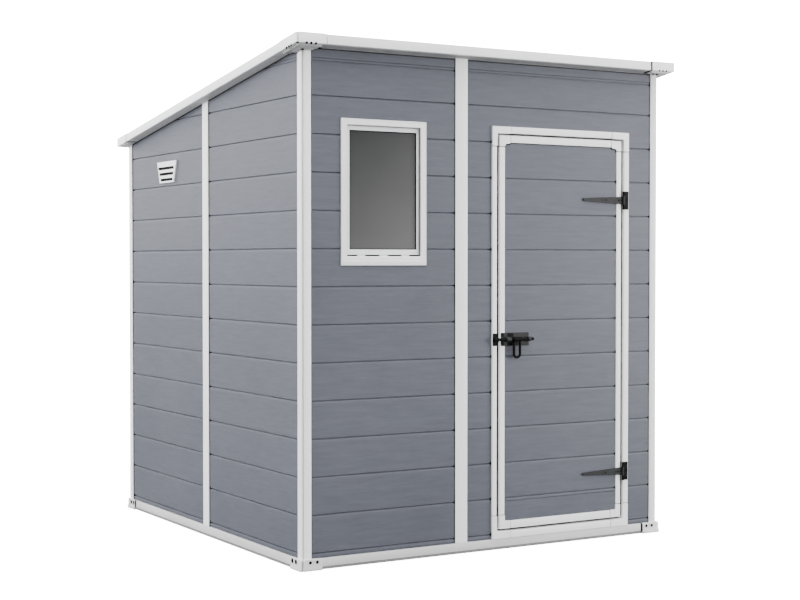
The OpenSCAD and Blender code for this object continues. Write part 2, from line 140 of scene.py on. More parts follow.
def newEffect(name, takes, gives):
    group = bpy.data.node_groups.new(name, "ShaderNodeTree")
    for label, value in takes.items():
        socket = group.interface.new_socket(name=label, in_out="INPUT", socket_type="NodeSocketFloat")
        socket.default_value = value
    for label in gives:
        group.interface.new_socket(name=label, in_out="OUTPUT", socket_type="NodeSocketFloat")
    return group, group.nodes.new("NodeGroupInput").outputs, group.nodes.new("NodeGroupOutput")


# streaks that run level along a plank, whichever way the wall faces
# broad and fine give the stretch, rise and detail of two kinds of streak
grain = Values(
    bendScale=4.0, bendDetail=2.0, rough=0.6, toneShare=0.6, lineShare=0.35, broad=(1.0, 0.45, 3.0),
    fine=(2.6, 2.4, 4.0))
plankGrain, take, give = newEffect(
    "plankGrain", {"Lengthwise": 7.0, "Fineness": 150.0, "Waviness": 0.01}, ["Tone", "Lines"])
tree = plankGrain
spot = placeOf(tree)
axes = split(tree, spot)
bend = doMath(tree, "SUBTRACT", cloud(tree, spot, grain.bendScale, grain.bendDetail), 0.5)
height = plus(tree, axes[2], times(tree, bend, take["Waviness"]))
streaks = []
for stretch, rise, detail in (grain.broad, grain.fine):
    along = times(tree, take["Lengthwise"], stretch)
    where = addNode(tree, "CombineXYZ", {
        0: times(tree, axes[0], along), 1: times(tree, axes[1], along),
        2: times(tree, height, times(tree, take["Fineness"], rise))})[0]
    streaks.append(cloud(tree, where, 1.0, detail, grain.rough))
for label, share in (("Tone", grain.toneShare), ("Lines", grain.lineShare)):
    blend = plus(tree, times(tree, streaks[0], share), times(tree, streaks[1], 1 - share))
    setInputs(tree, give, {label: blend})

# slow changes of tone in moulded plastic, and the fine pebble of its skin
mouldSkin, take, give = newEffect("mouldSkin", {"Patches": 2.5, "Pebble": 700.0}, ["Patch", "Pebble"])
tree = mouldSkin
spot = placeOf(tree)
setInputs(tree, give, {"Patch": cloud(tree, spot, take["Patches"], 5.0, 0.55),
                       "Pebble": cloud(tree, spot, take["Pebble"], 2.0)})

# thin dust that settles where a surface faces up
dustRange = Values(facing=(0.35, 0.95), patchy=(0.35, 0.75), detail=6.0)
settledDust, take, give = newEffect("settledDust", {"Amount": 0.3, "Spread": 14.0}, ["Mask"])
tree = settledDust
facing = split(tree, addNode(tree, "NewGeometry")["Normal"])[2]
patchy = cloud(tree, placeOf(tree), take["Spread"], dustRange.detail)
settled = times(tree, spread(tree, facing, 0, 1, *dustRange.facing), spread(tree, patchy, 0, 1, *dustRange.patchy))
setInputs(tree, give, {"Mask": times(tree, settled, take["Amount"])})


def startMaterial(name):
    material = bpy.data.materials.new(name)
    material.use_nodes = True
    tree = material.node_tree
    return material, tree, tree.nodes["Principled BSDF"]


def useEffect(tree, group, **values):
    made = tree.nodes.new("ShaderNodeGroup")
    made.node_tree = group
    setInputs(tree, made, values)
    return made.outputs


def mixColour(tree, factor, first, second, blend="MIX"):
    first, second = (value if isinstance(value, bpy.types.NodeSocket) else (*value, 1) for value in (first, second))
    return addNode(tree, "Mix", {0: factor, 6: first, 7: second}, data_type="RGBA", blend_type=blend)[2]


def relief(tree, height, strength, depth):
    return addNode(tree, "Bump", {"Height": height, "Strength": strength, "Distance": depth})[0]


skinShift = Values(rough=0.05, dust=0.3)


def mouldedPlastic(name, look):
    material, tree, shader = startMaterial(name)
    skin = useEffect(tree, mouldSkin, Patches=look.patches, Pebble=look.pebble)
    colour = mixColour(tree, spread(tree, skin["Patch"], 0, 1), look.dark, look.light)
    bump = skin["Pebble"]
    if "grain" in look:
        lengthwise, fineness, toneShift, pebbleShare = look.grain
        lines = useEffect(tree, plankGrain, Lengthwise=lengthwise, Fineness=fineness)
        shade = spread(tree, lines["Tone"], 1 - toneShift, 1 + toneShift)
        tone = addNode(tree, "CombineColor", {0: shade, 1: shade, 2: shade})[0]
        colour = mixColour(tree, 1.0, colour, tone, "MULTIPLY")
        bump = plus(tree, times(tree, bump, pebbleShare), lines["Lines"])
    dust = useEffect(tree, settledDust, Amount=look.dust)["Mask"]
    rough = spread(tree, skin["Patch"], look.rough - skinShift.rough, look.rough + skinShift.rough)
    setInputs(tree, shader, {
        "Base Color": mixColour(tree, dust, colour, look.dustColour),
        "Roughness": plus(tree, rough, times(tree, dust, skinShift.dust)),
        "Normal": relief(tree, bump, look.bump, look.skinDepth),
        "Specular IOR Level": look.get("gloss", 0.5)})
    return material


trimSkin = Values(
    slot="trim_white", patches=3.0, pebble=900.0, bump=0.12, skinDepth=0.0004, dust=0.12,
    dustColour=(0.5, 0.49, 0.47))
boardSkin = Values(
    slot="roof_grey", patches=3.0, pebble=420.0, bump=0.25, skinDepth=0.0006, rough=0.6, dust=0.0,
    dustColour=(0.36, 0.35, 0.33))
ironSkin = Values(
    slot="black_iron", patches=30.0, pebble=1500.0, bump=0.22, skinDepth=0.0003, rough=0.55, dust=0.0,
    dustColour=(0.10, 0.10, 0.10))
plastics = {
    "plankGrey": Values(
        slot="wall_grey", dark=(0.110, 0.116, 0.1385), light=(0.127, 0.133, 0.1565), patches=2.0, pebble=600.0,
        grain=(7.0, 150.0, 0.10, 0.12), bump=0.55, skinDepth=0.0012, rough=0.5, gloss=0.42, dust=0.25,
        dustColour=(0.42, 0.42, 0.41)),
    "trimWhite": Values(trimSkin, dark=(0.88, 0.875, 0.87), light=(0.93, 0.925, 0.92), rough=0.42),
    # the trim white darkened by painted shade; the rails and the feet take it
    "railShadedWhite": Values(trimSkin, dark=(0.64, 0.636, 0.63), light=(0.70, 0.696, 0.69), rough=0.45),
    # a mid grey used only as painted shade, under the rails and in the window's reveal
    "paintedShadeGrey": Values(
        trimSkin, dark=(0.24, 0.24, 0.235), light=(0.29, 0.29, 0.285), patches=5.0, rough=0.6, gloss=0.3,
        dust=0.0),
    "roofGrey": Values(
        boardSkin, dark=(0.40, 0.405, 0.41), light=(0.47, 0.475, 0.48), patches=2.4, rough=0.55, dust=0.3),
    # undersides: the trim white darkened by painted shade, deeper under the eaves and lighter under the verges
    "soffitPaintedShade": Values(boardSkin, dark=(0.42, 0.423, 0.428), light=(0.47, 0.473, 0.478)),
    "vergePaintedShade": Values(boardSkin, dark=(0.70, 0.703, 0.708), light=(0.78, 0.783, 0.788)),
    "floorGrey": Values(
        slot="floor_grey", dark=(0.085, 0.088, 0.095), light=(0.115, 0.118, 0.125), patches=4.0, pebble=260.0,
        bump=0.45, skinDepth=0.0010, rough=0.62, dust=0.35, dustColour=(0.30, 0.28, 0.25)),
    # dark iron of the straps and bolt plate, also used for the painted shadow under the soffit
    "ironGreyAndShade": Values(ironSkin, dark=(0.029, 0.029, 0.030), light=(0.042, 0.042, 0.043), gloss=0.3),
    "blackIron": Values(ironSkin, dark=(0.003, 0.003, 0.0034), light=(0.007, 0.007, 0.008), gloss=0.16, dust=0.04),
    # black for rubber, bolts and screws, and also for the dark blocks that paint shade in gaps and holes
    "rubberBlackAndShade": Values(
        ironSkin, dark=(0.010, 0.010, 0.010), light=(0.018, 0.018, 0.018), patches=20.0, pebble=900.0, bump=0.2,
        rough=0.8, gloss=0.15, dust=0.02),
}
finishes = {name: mouldedPlastic(name, look) for name, look in plastics.items()}
slots = {name: look.slot for name, look in plastics.items()}

# grey sheet of the window, a little cloudy, with a painted reflection that makes it lighter towards its lower right
# corner
pane = Values(
    dark=(0.040, 0.040, 0.040), light=(0.145, 0.144, 0.143), rough=0.35, gloss=0.3, ior=1.5, across=0.3,
    down=0.7, shift=0.04, patches=3.0, pebble=60.0, bump=0.05, depth=0.001)
slots["greyPane"] = "glazing"
finishes["greyPane"], tree, shader = startMaterial("greyPane")
skin = useEffect(tree, mouldSkin, Patches=pane.patches, Pebble=pane.pebble)
axes = split(tree, placeOf(tree, "Generated"))
# painted reflection: the sheet gets lighter across and down, with cloudy patches on top
shift = plus(tree, times(tree, axes[0], pane.across),
             times(tree, doMath(tree, "SUBTRACT", 1.0, axes[2]), pane.down))
shift = plus(tree, shift, spread(tree, skin["Patch"], -pane.shift, pane.shift))
setInputs(tree, shader, {
    "Base Color": mixColour(tree, shift, pane.dark, pane.light),
    "Roughness": spread(tree, skin["Patch"], pane.rough - pane.shift, pane.rough + pane.shift),
    "Normal": relief(tree, skin["Pebble"], pane.bump, pane.depth),
    "IOR": pane.ior, "Specular IOR Level": pane.gloss})
print("materials mixed:", ", ".join(finishes))


# shape tools

def overPlan(a, b, c):
    return (a, b, c)  # outline in x and y, drawn upward


def acrossX(a, b, c):
    return (c, a, b)  # outline in y and z, drawn along x


def acrossY(a, b, c):
    return (a, c, b)  # outline in x and z, drawn along y


def brick(x0, x1, y0, y1):
    return [(x0, y0), (x1, y0), (x1, y1), (x0, y1)]


def blank(count):
    return [bmesh.new() for k in range(count)]


def softCorners(points, radii, steps=4):
    soft = []
    for i, radius in enumerate(radii):
        corner = Vector(points[i])
        if not radius:
            soft.append(tuple(corner))
            continue
        back = (Vector(points[i - 1]) - corner).normalized()
        ahead = (Vector(points[(i + 1) % len(points)]) - corner).normalized()
        half = back.angle(ahead) / 2
        middle = corner + (back + ahead).normalized() * (radius / math.sin(half))
        first = corner + back * (radius / math.tan(half)) - middle
        last = corner + ahead * (radius / math.tan(half)) - middle
        soft += [tuple(middle + first.slerp(last, k / steps)) for k in range(steps + 1)]
    return soft


def loft(shape, rings, loop=False):
    rows = [[shape.verts.new(p) for p in ring] for ring in rings]
    for a, b in list(zip(rows, rows[1:])) + ([(rows[-1], rows[0])] if loop else []):
        for i in range(len(a)):
            j = (i + 1) % len(a)
            shape.faces.new((a[i], a[j], b[j], b[i]))
    if not loop:
        shape.faces.new(rows[0][::-1])
        shape.faces.new(rows[-1])


def bar(outline, start, end, place):
    return [[place(a, b, c) for a, b in outline] for c in (start, end)]


def draw(shape, outline, start, end, place):
    loft(shape, bar(outline, start, end, place))


def softBrick(x0, x1, y0, y1, first, second, steps=4):
    # a brick with its corners rounded, the two at y0 by first and the two at y1 by second
    return softCorners(brick(x0, x1, y0, y1), [first, first, second, second], steps)


def inward(low, high, sx, sy, out=0.0):
    # measures inward from the corner that sx and sy point to
    x, y = (low.x if sx < 0 else high.x), (low.y if sy < 0 else high.y + out)
    return lambda a, b: (x - sx * a, y - sy * b)


def turned(shape, centre, axis, rows, sides=20):
    # rows of (distance along the axis, radius)
    along = Vector(axis).normalized()
    across = along.orthogonal().normalized()
    other = along.cross(across)
    rings = []
    for reach, radius in rows:
        middle = Vector(centre) + along * reach
        rings.append([middle + (across * math.cos(t) + other * math.sin(t)) * radius
                      for t in (2 * math.pi * k / sides for k in range(sides))])
    loft(shape, rings)


def screwHead(shape, centre, axis, radius, high):
    rows = ((0.35, 1), (0.8, 0.8), (1, 0.5), (0.95, 0.34), (0.4, 0.3))
    turned(shape, centre, axis, [(-0.4, radius)] + [(high * a, radius * b) for a, b in rows], 14)


def toThing(shape, name):
    bmesh.ops.recalc_face_normals(shape, faces=shape.faces[:])
    bmesh.ops.scale(shape, vec=(0.001, 0.001, 0.001), verts=shape.verts[:])
    mesh = bpy.data.meshes.new(name)
    shape.to_mesh(mesh)
    shape.free()
    return addThing(name, mesh)


def soften(thing, width, angle, harden):
    edge = thing.modifiers.new("softEdges", "BEVEL")
    edge.width, edge.segments = width / 1000, 2
    edge.limit_method, edge.angle_limit = "ANGLE", math.radians(angle)
    edge.harden_normals = harden


def piece(shape, name, finish, body="shell", stands=(), bevel=0.0, angle=32):
    thing = toThing(shape, name)
    thing.data.shade_smooth()
    thing.data.materials.append(finishes[finish])
    if bevel:
        soften(thing, bevel, angle, True)
    else:
        thing.data.set_sharp_from_angle(angle=math.radians(angle))
    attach(thing, body)
    if stands:
        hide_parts(*stands)
    return thing


def lofted(name, finish, rings, loop=False, **more):
    shape = bmesh.new()
    loft(shape, rings, loop)
    return piece(shape, name, finish, **more)


def cutAway(thing, shape):
    cutter = toThing(shape, "cutter")
    cut = thing.modifiers.new("cut", "BOOLEAN")
    cut.object = cutter
    cut.solver = "EXACT"
    bpy.context.view_layer.update()
    done = bpy.data.meshes.new_from_object(thing.evaluated_get(bpy.context.evaluated_depsgraph_get()))
    thing.modifiers.remove(cut)
    spent = (thing.data, cutter.data)
    thing.data = done
    bpy.data.objects.remove(cutter)
    for mesh in spent:
        bpy.data.meshes.remove(mesh)
    done.set_sharp_from_angle(angle=math.radians(32))


# main faces

slope = math.tan(math.radians(8.15))
boardHigh = 39.0
capLow, capHigh = cad("roof_corner_caps")
wallLow, wallHigh = cad("wall_left")
backLow, backHigh = cad("wall_back")
frontLow, frontHigh = cad("wall_front_window")
sideX, frontY, backY, baseTop = -wallLow.x, frontLow.y, backHigh.y, frontLow.z
wallThick = frontHigh.y - frontLow.y


def roofTop(y):
    return capHigh.z - (y - capLow.y) * slope


def roofUnder(y):
    return roofTop(y) - boardHigh


def frontFace(u, w, z):
    return (u, frontY - w, z)


def backFace(u, w, z):
    return (u, backY + w, z)


def leftFace(u, w, z):
    return (-sideX - w, u, z)


def rightFace(u, w, z):
    return (sideX + w, u, z)


# planked walls: jointShape and hairline give the rise and depth across a joint, topDrop lowers the last one

planks = Values(
    first=65.0, pitch=146.5, rows=14, topDrop=14.5,
    jointShape=[(2.9, 0.0), (2.3, 6.5), (-1.7, 6.5), (-2.6, 0.5), (-4.6, 0.0)],
    hairline=[(1.7, 0.0), (1.2, 3.2), (-0.9, 3.2), (-1.9, 0.0)], topShare=0.55, insideDepth=0.45, channel=4.0,
    channelDepth=2.0, foot=6.0, step=0.5, slack=0.05, beyond=9999, pinWide=(6.0, 15.0), pinHigh=13.0,
    pinOut=0.5, plugDeep=6.0, endGap=(4.5, 11.0), gapOut=0.1, soffitGap=7.0, stripHigh=1.5, stripOut=1.0,
    doubleLine=11.5, relief=0.16, reliefStart=7, reliefScale=(170, 11, 300), across=60.0, rise=10.0, least=0.2)
joints = [planks.first + planks.pitch * k for k in range(planks.rows)]
joints[-1] -= planks.topDrop
doubleLine = [joints[-1] + planks.doubleLine]


def gridLines(low, high, marks, step):
    lines, least = [low], planks.least
    for mark in sorted(m for m in marks if low + least < m < high - least) + [high]:
        base, gap = lines[-1], mark - lines[-1]
        if gap >= least:
            parts = max(1, round(gap / step))
            lines += [base + gap * k / parts for k in range(1, parts + 1)]
    return lines


def jointDepth(z, marks, shapeOf):
    for mark in marks:
        t = z - mark
        for (t1, d1), (t0, d0) in zip(shapeOf, shapeOf[1:]):
            if t0 <= t <= t1:
                share = planks.topShare if mark == joints[-1] else 1.0
                return (d0 + (d1 - d0) * (t - t0) / (t1 - t0)) * share
    return 0.0


def plankPanel(shape, place, span, rise, thick, marks, bands=(), openings=(), thin=()):
    step, slack = planks.step, planks.step - planks.slack
    uMarks, zMarks = [], []
    for boxes, edge in ((bands, step), (openings, 0)):
        for a, b, c, d in boxes:
            uMarks += [a, a + edge, b - edge, b]
            zMarks += [c, c + edge, d - edge, d]
    for places, section in ((marks, planks.jointShape), (thin, planks.hairline)):
        zMarks += [m + t for m in places for t, d in section]
    us = gridLines(*span, uMarks, planks.across)
    zs = gridLines(*rise, zMarks, planks.rise)
    scaleU, scaleZ, scaleY = planks.reliefScale

    def solid(i, j):
        if not (0 <= i < len(us) - 1 and 0 <= j < len(zs) - 1):
            return False
        u, z = (us[i] + us[i + 1]) / 2, (zs[j] + zs[j + 1]) / 2
        return not any(a < u < b and c < z < d for a, b, c, d in openings)

    rows = [(z, jointDepth(z, marks, planks.jointShape), jointDepth(z, thin, planks.hairline)) for z in zs]
    made = {}
    for i, u in enumerate(us):
        for j, (z, deep, fineDeep) in enumerate(rows):
            if not any(solid(a, b) for a in (i - 1, i) for b in (j - 1, j)):
                continue
            depth = max(deep, fineDeep)
            spot = (u / scaleU + planks.reliefStart, z / scaleZ, place(0, 0, 0)[1] / scaleY)
            depth += planks.relief * noise.noise(spot)
            if any(a + slack < u < b - slack and c + slack < z < d - slack for a, b, c, d in bands):
                depth = max(depth, planks.channelDepth)
            made[i, j] = (shape.verts.new(place(u, -depth, z)),
                          shape.verts.new(place(u, -thick + deep * planks.insideDepth, z)))
    for i in range(len(us) - 1):
        for j in range(len(zs) - 1):
            if not solid(i, j):
                continue
            corners = [made[i, j], made[i + 1, j], made[i + 1, j + 1], made[i, j + 1]]
            shape.faces.new([c[0] for c in corners])
            shape.faces.new([c[1] for c in reversed(corners)])
            for k, beside in enumerate(((i, j - 1), (i + 1, j), (i, j + 1), (i - 1, j))):
                if not solid(*beside):
                    p, q = corners[k], corners[(k + 1) % 4]
                    shape.faces.new([q[0], p[0], p[1], q[1]])


def trimTop(shape, drop, along):
    # cuts a wall along a plane below the roof and closes the cut; along is the wall's own axis
    point = Vector((0, capLow.y, roofUnder(capLow.y) - drop))
    bmesh.ops.bisect_plane(shape, geom=shape.verts[:] + shape.edges[:] + shape.faces[:], dist=1e-5,
                           plane_co=point, plane_no=Vector((0, slope, 1)).normalized(), clear_outer=True)
    columns = {}
    for edge in shape.edges:
        if len(edge.link_faces) == 1:
            for vert in edge.verts:
                columns.setdefault(round(vert.co[along], 2), set()).add(vert)
    steps = sorted(columns)
    for low, high in zip(steps, steps[1:]):
        a, b = (sorted(columns[step], key=lambda v: v.co[1 - along]) for step in (low, high))
        if high - low < planks.across * 1.5 and len(a) > 1 and len(b) > 1:
            shape.faces.new([a[0], a[-1], b[-1], b[0]])


def shadePlug(shape, place, u0, u1, z0, z1, out):
    # dark block set into a gap beside a post, painted shade of the gap
    loft(shape, [[place(u, w, z) for u, z in brick(u0, u1, z0, z1)] for w in (-planks.plugDeep, out)])


# dark block at the end of a joint, painted shade of the hole there
def jointHoleShade(shape, place, u0, u1, mark):
    half = planks.pinHigh / 2
    shadePlug(shape, place, u0, u1, mark - half + 1, mark + half + 1, planks.pinOut)


def wallPanels(name, place, spans, stands, openings=(), bands=(), far=1, sides=0, thin=doubleLine, alsoHoleShades=()):
    # far tells which end of each panel shows its gap: 1 the end with the larger coordinate, -1 the other
    # sides is 1 for a side wall, whose gaps are wider, and 0 for the front and the back
    shape = bmesh.new()
    channel, beyond, foot = planks.channel, planks.beyond, baseTop + planks.foot
    gap, strip = planks.soffitGap, planks.stripHigh
    wide, gapWide = planks.pinWide[sides], planks.endGap[sides]
    marks = [m for m in joints if m > foot]
    for u0, u1 in spans:
        high = max(roofUnder(place(u, 0, 0)[1]) for u in (u0, u1)) + 2
        plankPanel(shape, place, (u0, u1), (baseTop, high), wallThick, marks,
                   [(u0 - 1, u0 + channel, -1, beyond), (u1 - channel, u1 + 1, -1, beyond),
                    *[band for band in bands if u0 < (band[0] + band[1]) / 2 < u1],
                    (u0 - 1, u1 + 1, baseTop - 1, foot)],
                   [hole for hole in openings if u0 < hole[0] < u1], thin)
        # dark blocks paint the shade in the gap at the panel's far end and in the holes at the joint ends
        end = u1 if far > 0 else u0
        top = roofUnder(place(end, 0, 0)[1]) - gap - 1
        shadePlug(endGapShade, place, *sorted((end, end - far * gapWide)), baseTop, top, planks.gapOut)
        for m in marks:
            for edge in (end, *[p for p in alsoHoleShades if u0 < p < u1 and m < doorHigh.z]):
                if m + 12 < top:
                    jointHoleShade(endGapShade, place, *sorted((edge, edge - far * wide)), m)
    trimTop(shape, gap, sides)
    for u0, u1 in spans:
        # along each wall top: a strip in the soffit's painted shade, and below it a dark strip that paints the
        # shadow in the gap under the soffit
        for target, out, top, bottom in ((soffitStrips, planks.stripOut, 0.3, strip),
                                         (soffitGapShade, -0.5, strip - 0.5, gap + 0.5)):
            near, farther = place(u0, out, 0), place(u1, -wallThick + 2, 0)
            (x0, x1), (y0, y1) = (sorted((near[k], farther[k])) for k in (0, 1))
            under0, under1 = roofUnder(y0), roofUnder(y1)
            draw(target, [(y0, under0 - bottom), (y1, under1 - bottom), (y1, under1 - top), (y0, under0 - top)],
                 x0, x1, acrossX)
    return piece(shape, name, "plankGrey", stands=stands, angle=38)


def besideOpening(x0, x1, ring, lap, z0, z1):
    # bands in the planks along both sides of an opening
    return [(x0 - ring, x0 + lap, z0, z1), (x1 - lap, x1 + ring, z0, z1)]


soffitStrips, soffitGapShade, endGapShade = blank(3)
windowLow, windowHigh = cad("window_frame")
sashLow, sashHigh = cad("window_sash")
doorLow, doorHigh = cad("door_frame")
ventLow, ventHigh = cad("side_vents")
openingRims = Values(lining=5.0, window=3.0, windowTop=4.0, door=4.0, doorLap=0.6)
vents = Values(
    middle=(ventLow.y + ventHigh.y) / 2, level=(ventLow.z + ventHigh.z) / 2, hole=160.0, below=39.0, above=29.0)
lining, ring = openingRims.lining, openingRims.window
sashHole = (sashLow.x - lining, sashHigh.x + lining, sashLow.z - lining, sashHigh.z + lining)
windowRim = besideOpening(windowLow.x, windowHigh.x, ring, ring, windowLow.z - ring,
                          windowHigh.z + openingRims.windowTop)
windowRim.append((windowLow.x - ring, windowHigh.x + ring, windowLow.z - ring, windowLow.z + ring))
doorGap = (doorLow.x, doorHigh.x, -1, doorHigh.z)
doorRim = besideOpening(doorLow.x, doorHigh.x, openingRims.door, openingRims.doorLap, -1, doorHigh.z)
ventHole = (vents.middle - vents.hole / 2, vents.middle + vents.hole / 2,
            vents.level - vents.below, vents.level + vents.above)
sidePostLow, sidePostHigh = cad("mid_post_left")
backPostLow, backPostHigh = cad("mid_post_back")
sideSpans = [(wallLow.y, sidePostLow.y), (sidePostHigh.y, wallHigh.y)]
wallPanels("planksWindow", frontFace, [(frontLow.x, frontHigh.x)], ["wall_front_window"],
           openings=[sashHole], bands=windowRim)
wallPanels("planksDoor", frontFace, [(cad("wall_beside_door_left")[0].x, cad("wall_beside_door_right")[1].x)],
           ["wall_beside_door_left", "wall_beside_door_right", "wall_over_door"],
           openings=[doorGap], bands=doorRim, alsoHoleShades=[doorLow.x])
wallPanels("planksLeft", leftFace, sideSpans, ["wall_left"], openings=[ventHole], sides=1)
wallPanels("planksRight", rightFace, sideSpans, ["wall_right"], openings=[ventHole], sides=1)
wallPanels("planksBack", backFace, [(backLow.x, backPostLow.x), (backPostHigh.x, backHigh.x)],
           ["wall_back"], far=-1, thin=())
piece(soffitStrips, "soffitStrips", "soffitPaintedShade", angle=38)
piece(soffitGapShade, "soffitGapShade", "ironGreyAndShade", angle=38)
print("planked walls made")


# posts

posts = Values(
    round=10.0, farRound=3.0, rightRound=7.0, edge=1.5, lip=1.4, nearLip=(-0.6, -5.0), sideLip=(4.5, 0.0),
    fold=(3.0, 44.0), foldDeep=8.2, under=0.05)


def foldedCorner(radius, deep):
    # rounded corner at the origin, from (radius, 0) round to (0, radius), with a fold line nearer its first leg
    start, end = (math.radians(t) for t in posts.fold)
    rest = math.pi / 2 - end
    turns = [(0, 0), (start * 0.5, 0), (start, 0), (start + 0.12, deep), (end - 0.3, deep * 0.7), (end, 0)]
    turns += [(end + rest * k / 4, 0) for k in (1, 2, 3, 4)]
    return [(radius - (radius - d) * math.sin(t), radius - (radius - d) * math.cos(t)) for t, d in turns]


def plainCorner(reach, radius):
    return softCorners([(reach, 0), (0, 0), (0, reach)], [0, radius, 0], 3)


def post(name, node, sx=0, sy=0):
    # sx and sy point to the corner that a corner post stands in
    low, high = cad(node)
    lip = posts.lip
    if not sx:
        lapX, lapY = ((0, 0), posts.sideLip) if node.endswith(("left", "right")) else ((lip, lip), (0, 0))
        outline = softBrick(low.x - lapX[0], high.x + lapX[1], low.y - lapY[0], high.y + lapY[1],
                            posts.edge, posts.edge, 3)
    else:
        # the corner post laps over the panels on both sides
        near = sx + sy == -2
        lapX, lapY = posts.nearLip if near else (lip, lip)
        wide, deep = high.x - low.x + lapX, high.y - low.y + lapY
        if near:
            fold = foldedCorner(posts.round, posts.foldDeep)
        else:
            fold = plainCorner(12, posts["rightRound" if sy < 0 else "farRound"])
        local = [(0, deep - 1), (1, deep), (wide - 1, deep), (wide, deep - 1), (wide, 1), (wide - 1, 0)] + fold
        at = inward(low, high, sx, sy)
        outline = [at(a, b) for a, b in local]
    rings = [(x, y, low.z) for x, y in outline], [(x, y, roofUnder(y) - posts.under) for x, y in outline]
    lofted(name, "trimWhite", rings, stands=[node], angle=50)


def label(node):
    return node.title().replace("_", "")


corners = {"front_left": (-1, -1), "front_right": (1, -1), "back_right": (1, 1), "back_left": (-1, 1)}
for name, (sx, sy) in corners.items():
    post("cornerPost" + label(name), "post_" + name, sx, sy)
for name in ("front", "back", "left", "right"):
    post("middlePost" + label(name), "mid_post_" + name)

# base rails and feet

rails = Values(
    topEdge=2.0, lowEdge=1.5, lift=3.9, back=2.0, foot=0.6, shadow=(7.0, 6.0), proud=(0.3, 1.6), deep=5.0)
railShadeStrip = bmesh.new()
for name, place in (("front", acrossX), ("back", acrossX), ("left", acrossY), ("right", acrossY)):
    low, high = cad("base_rail_" + name)
    low.z += rails.lift
    ends, (a, b) = ((low.x, high.x), (low.y, high.y)) if place is acrossX else ((low.y, high.y), (low.x, high.x))
    outline = softBrick(a, b, low.z, high.z, rails.lowEdge, rails.topEdge, 3)
    lofted("sillRail" + label(name), "railShadedWhite", bar(outline, *ends, place),
           stands=["base_rail_" + name], angle=40)
    # grey strip set back in the gap under the rail, painted shadow
    draw(railShadeStrip, brick(a + rails.back, b - rails.back, rails.foot, low.z + 0.5), *ends, place)
piece(railShadeStrip, "railUnderShade", "paintedShadeGrey")

# dark block in the gap between each rail and the foot at its far end, painted shadow
for rail, foot, axis, face in (("front", "front_right", 0, -1), ("left", "back_left", 1, -1),
                               ("right", "back_right", 1, 1), ("back", "back_left", 0, 1)):
    (railLow, railHigh), (footLow, footHigh) = cad("base_rail_" + rail), cad("foot_" + foot)
    onHigh = footLow[axis] + footHigh[axis] > railLow[axis] + railHigh[axis]
    edge = footLow[axis] if onHigh else footHigh[axis]
    flat = railLow[1 - axis] if face < 0 else railHigh[1 - axis]
    wide = rails.shadow[axis]
    spans = [None, None]
    spans[axis] = sorted((edge, edge - wide if onHigh else edge + wide))
    spans[1 - axis] = sorted((flat + face * rails.proud[axis], flat - face * rails.deep))
    draw(endGapShade, brick(*spans[0], *spans[1]), railLow.z + rails.lift, railHigh.z, overPlan)

# flare has rows of height and inset, topRows of drop below the top, inset and shortening of the legs
feet = Values(
    leg=41.0, round=12.0, foldDeep=9.5, farRound=3.0, flare=((0.0, -2.6), (1.0, -3.0), (10.0, -2.5), (17.0, 0.0)),
    topRows=((2.5, 0.0, 0.0), (0.8, 0.8, 0.0), (0.0, 2.5, 1.0)), screws=(40.0, 70.0), sideShift=6.0,
    screwRise=32.0, frontScrew=(6.4, 1.0), sideScrew=(9.5, 0.5), deep=8.0, flush=0.6, rimOut=2.0, rimWide=2.6,
    head=2.6, headHigh=1.2)
for name in ("front_left", "front_right", "back_left", "back_right"):
    (sx, sy), (low, high) = corners[name], cad("foot_" + name)
    at = inward(low, high, sx, sy)
    fold = foldedCorner(feet.round, feet.foldDeep) if sx + sy == -2 else plainCorner(9, feet.farRound)

    def footRing(z, inset, short=0):
        t, end = feet.leg, high.x - low.x - short
        outline = [(inset, end), (t, end), (t, t), (end, t), (end, inset)]
        return [(*at(a, b), z) for a, b in outline + [(a + inset, b + inset) for a, b in fold]]

    rings = [footRing(z, inset) for z, inset in feet.flare]
    rings += [footRing(high.z - drop, inset, short) for drop, inset, short in feet.topRows]
    thing = lofted("foot" + label(name), "railShadedWhite", rings, stands=["foot_" + name], angle=34)
    (holes, heads), deep = blank(2), feet.deep
    for reach in feet.screws:
        for place, axis, (radius, sink) in ((at(reach, 0), (0, sy, 0), feet.frontScrew),
                                            (at(0, reach + feet.sideShift), (sx, 0, 0), feet.sideScrew)):
            spot = Vector((*place, feet.screwRise))
            turned(holes, spot, axis, [
                (-deep, radius), (-feet.flush, radius), (feet.rimOut, radius + feet.rimWide)])
            turned(heads, spot - Vector(axis) * deep, axis, [(-0.5, radius - 0.1), (deep - sink, radius - 0.1)])
            screwHead(heads, spot - Vector(axis) * sink, axis, radius - feet.head, feet.headHigh)
    cutAway(thing, holes)
    piece(heads, "foot" + label(name) + "Screws", "blackIron")
print("posts, rails and feet made")


# door frame and leaf rim: bars between corner pieces

joinery = Values(seam=3.0, proud=0.8, edge=0.8, over=0.3, shadow=(4.5, 4.0, 5.0))
frameTrim = Values(
    ends=(-0.8, 3.0), sides=(23.3, 26.0), head=28.0, sill=29.6, legs=(90.0, 80.0, 95.0), round=2.0, step=None)
leafTrim = Values(
    ends=(0.0, 4.4), sides=(26.5, 24.5), head=29.5, sill=32.0, legs=(53.0, 44.0, 56.0), round=1.5,
    step=(24.0, 4.6))


def cornerPiece(shape, x0, z0, dx, dz, wide, high, legX, legZ, y0, y1, step=None):
    # an angle seen from the front: outer corner at x0, z0, legs towards dx and dz
    inner, rounds = [(wide, high)], [2.0]
    if step:
        along, rise = wide + step[0], high + step[1]
        inner = [(along, high), (along - 1, high + step[1] * 0.8), (wide + 5, rise), (wide + 1.2, rise + 3)]
        rounds = [0.8, 0.8, 1.5, 1.5]
    points = [(0, 0), (legX, 0), (legX, high), *inner, (wide, legZ), (0, legZ)]
    soft = softCorners(points, [1.2, 0.8, 0.8, *rounds, 0.8, 0.8], 3)
    draw(shape, [(x0 + dx * a, z0 + dz * b) for a, b in soft], y0, y1, acrossY)


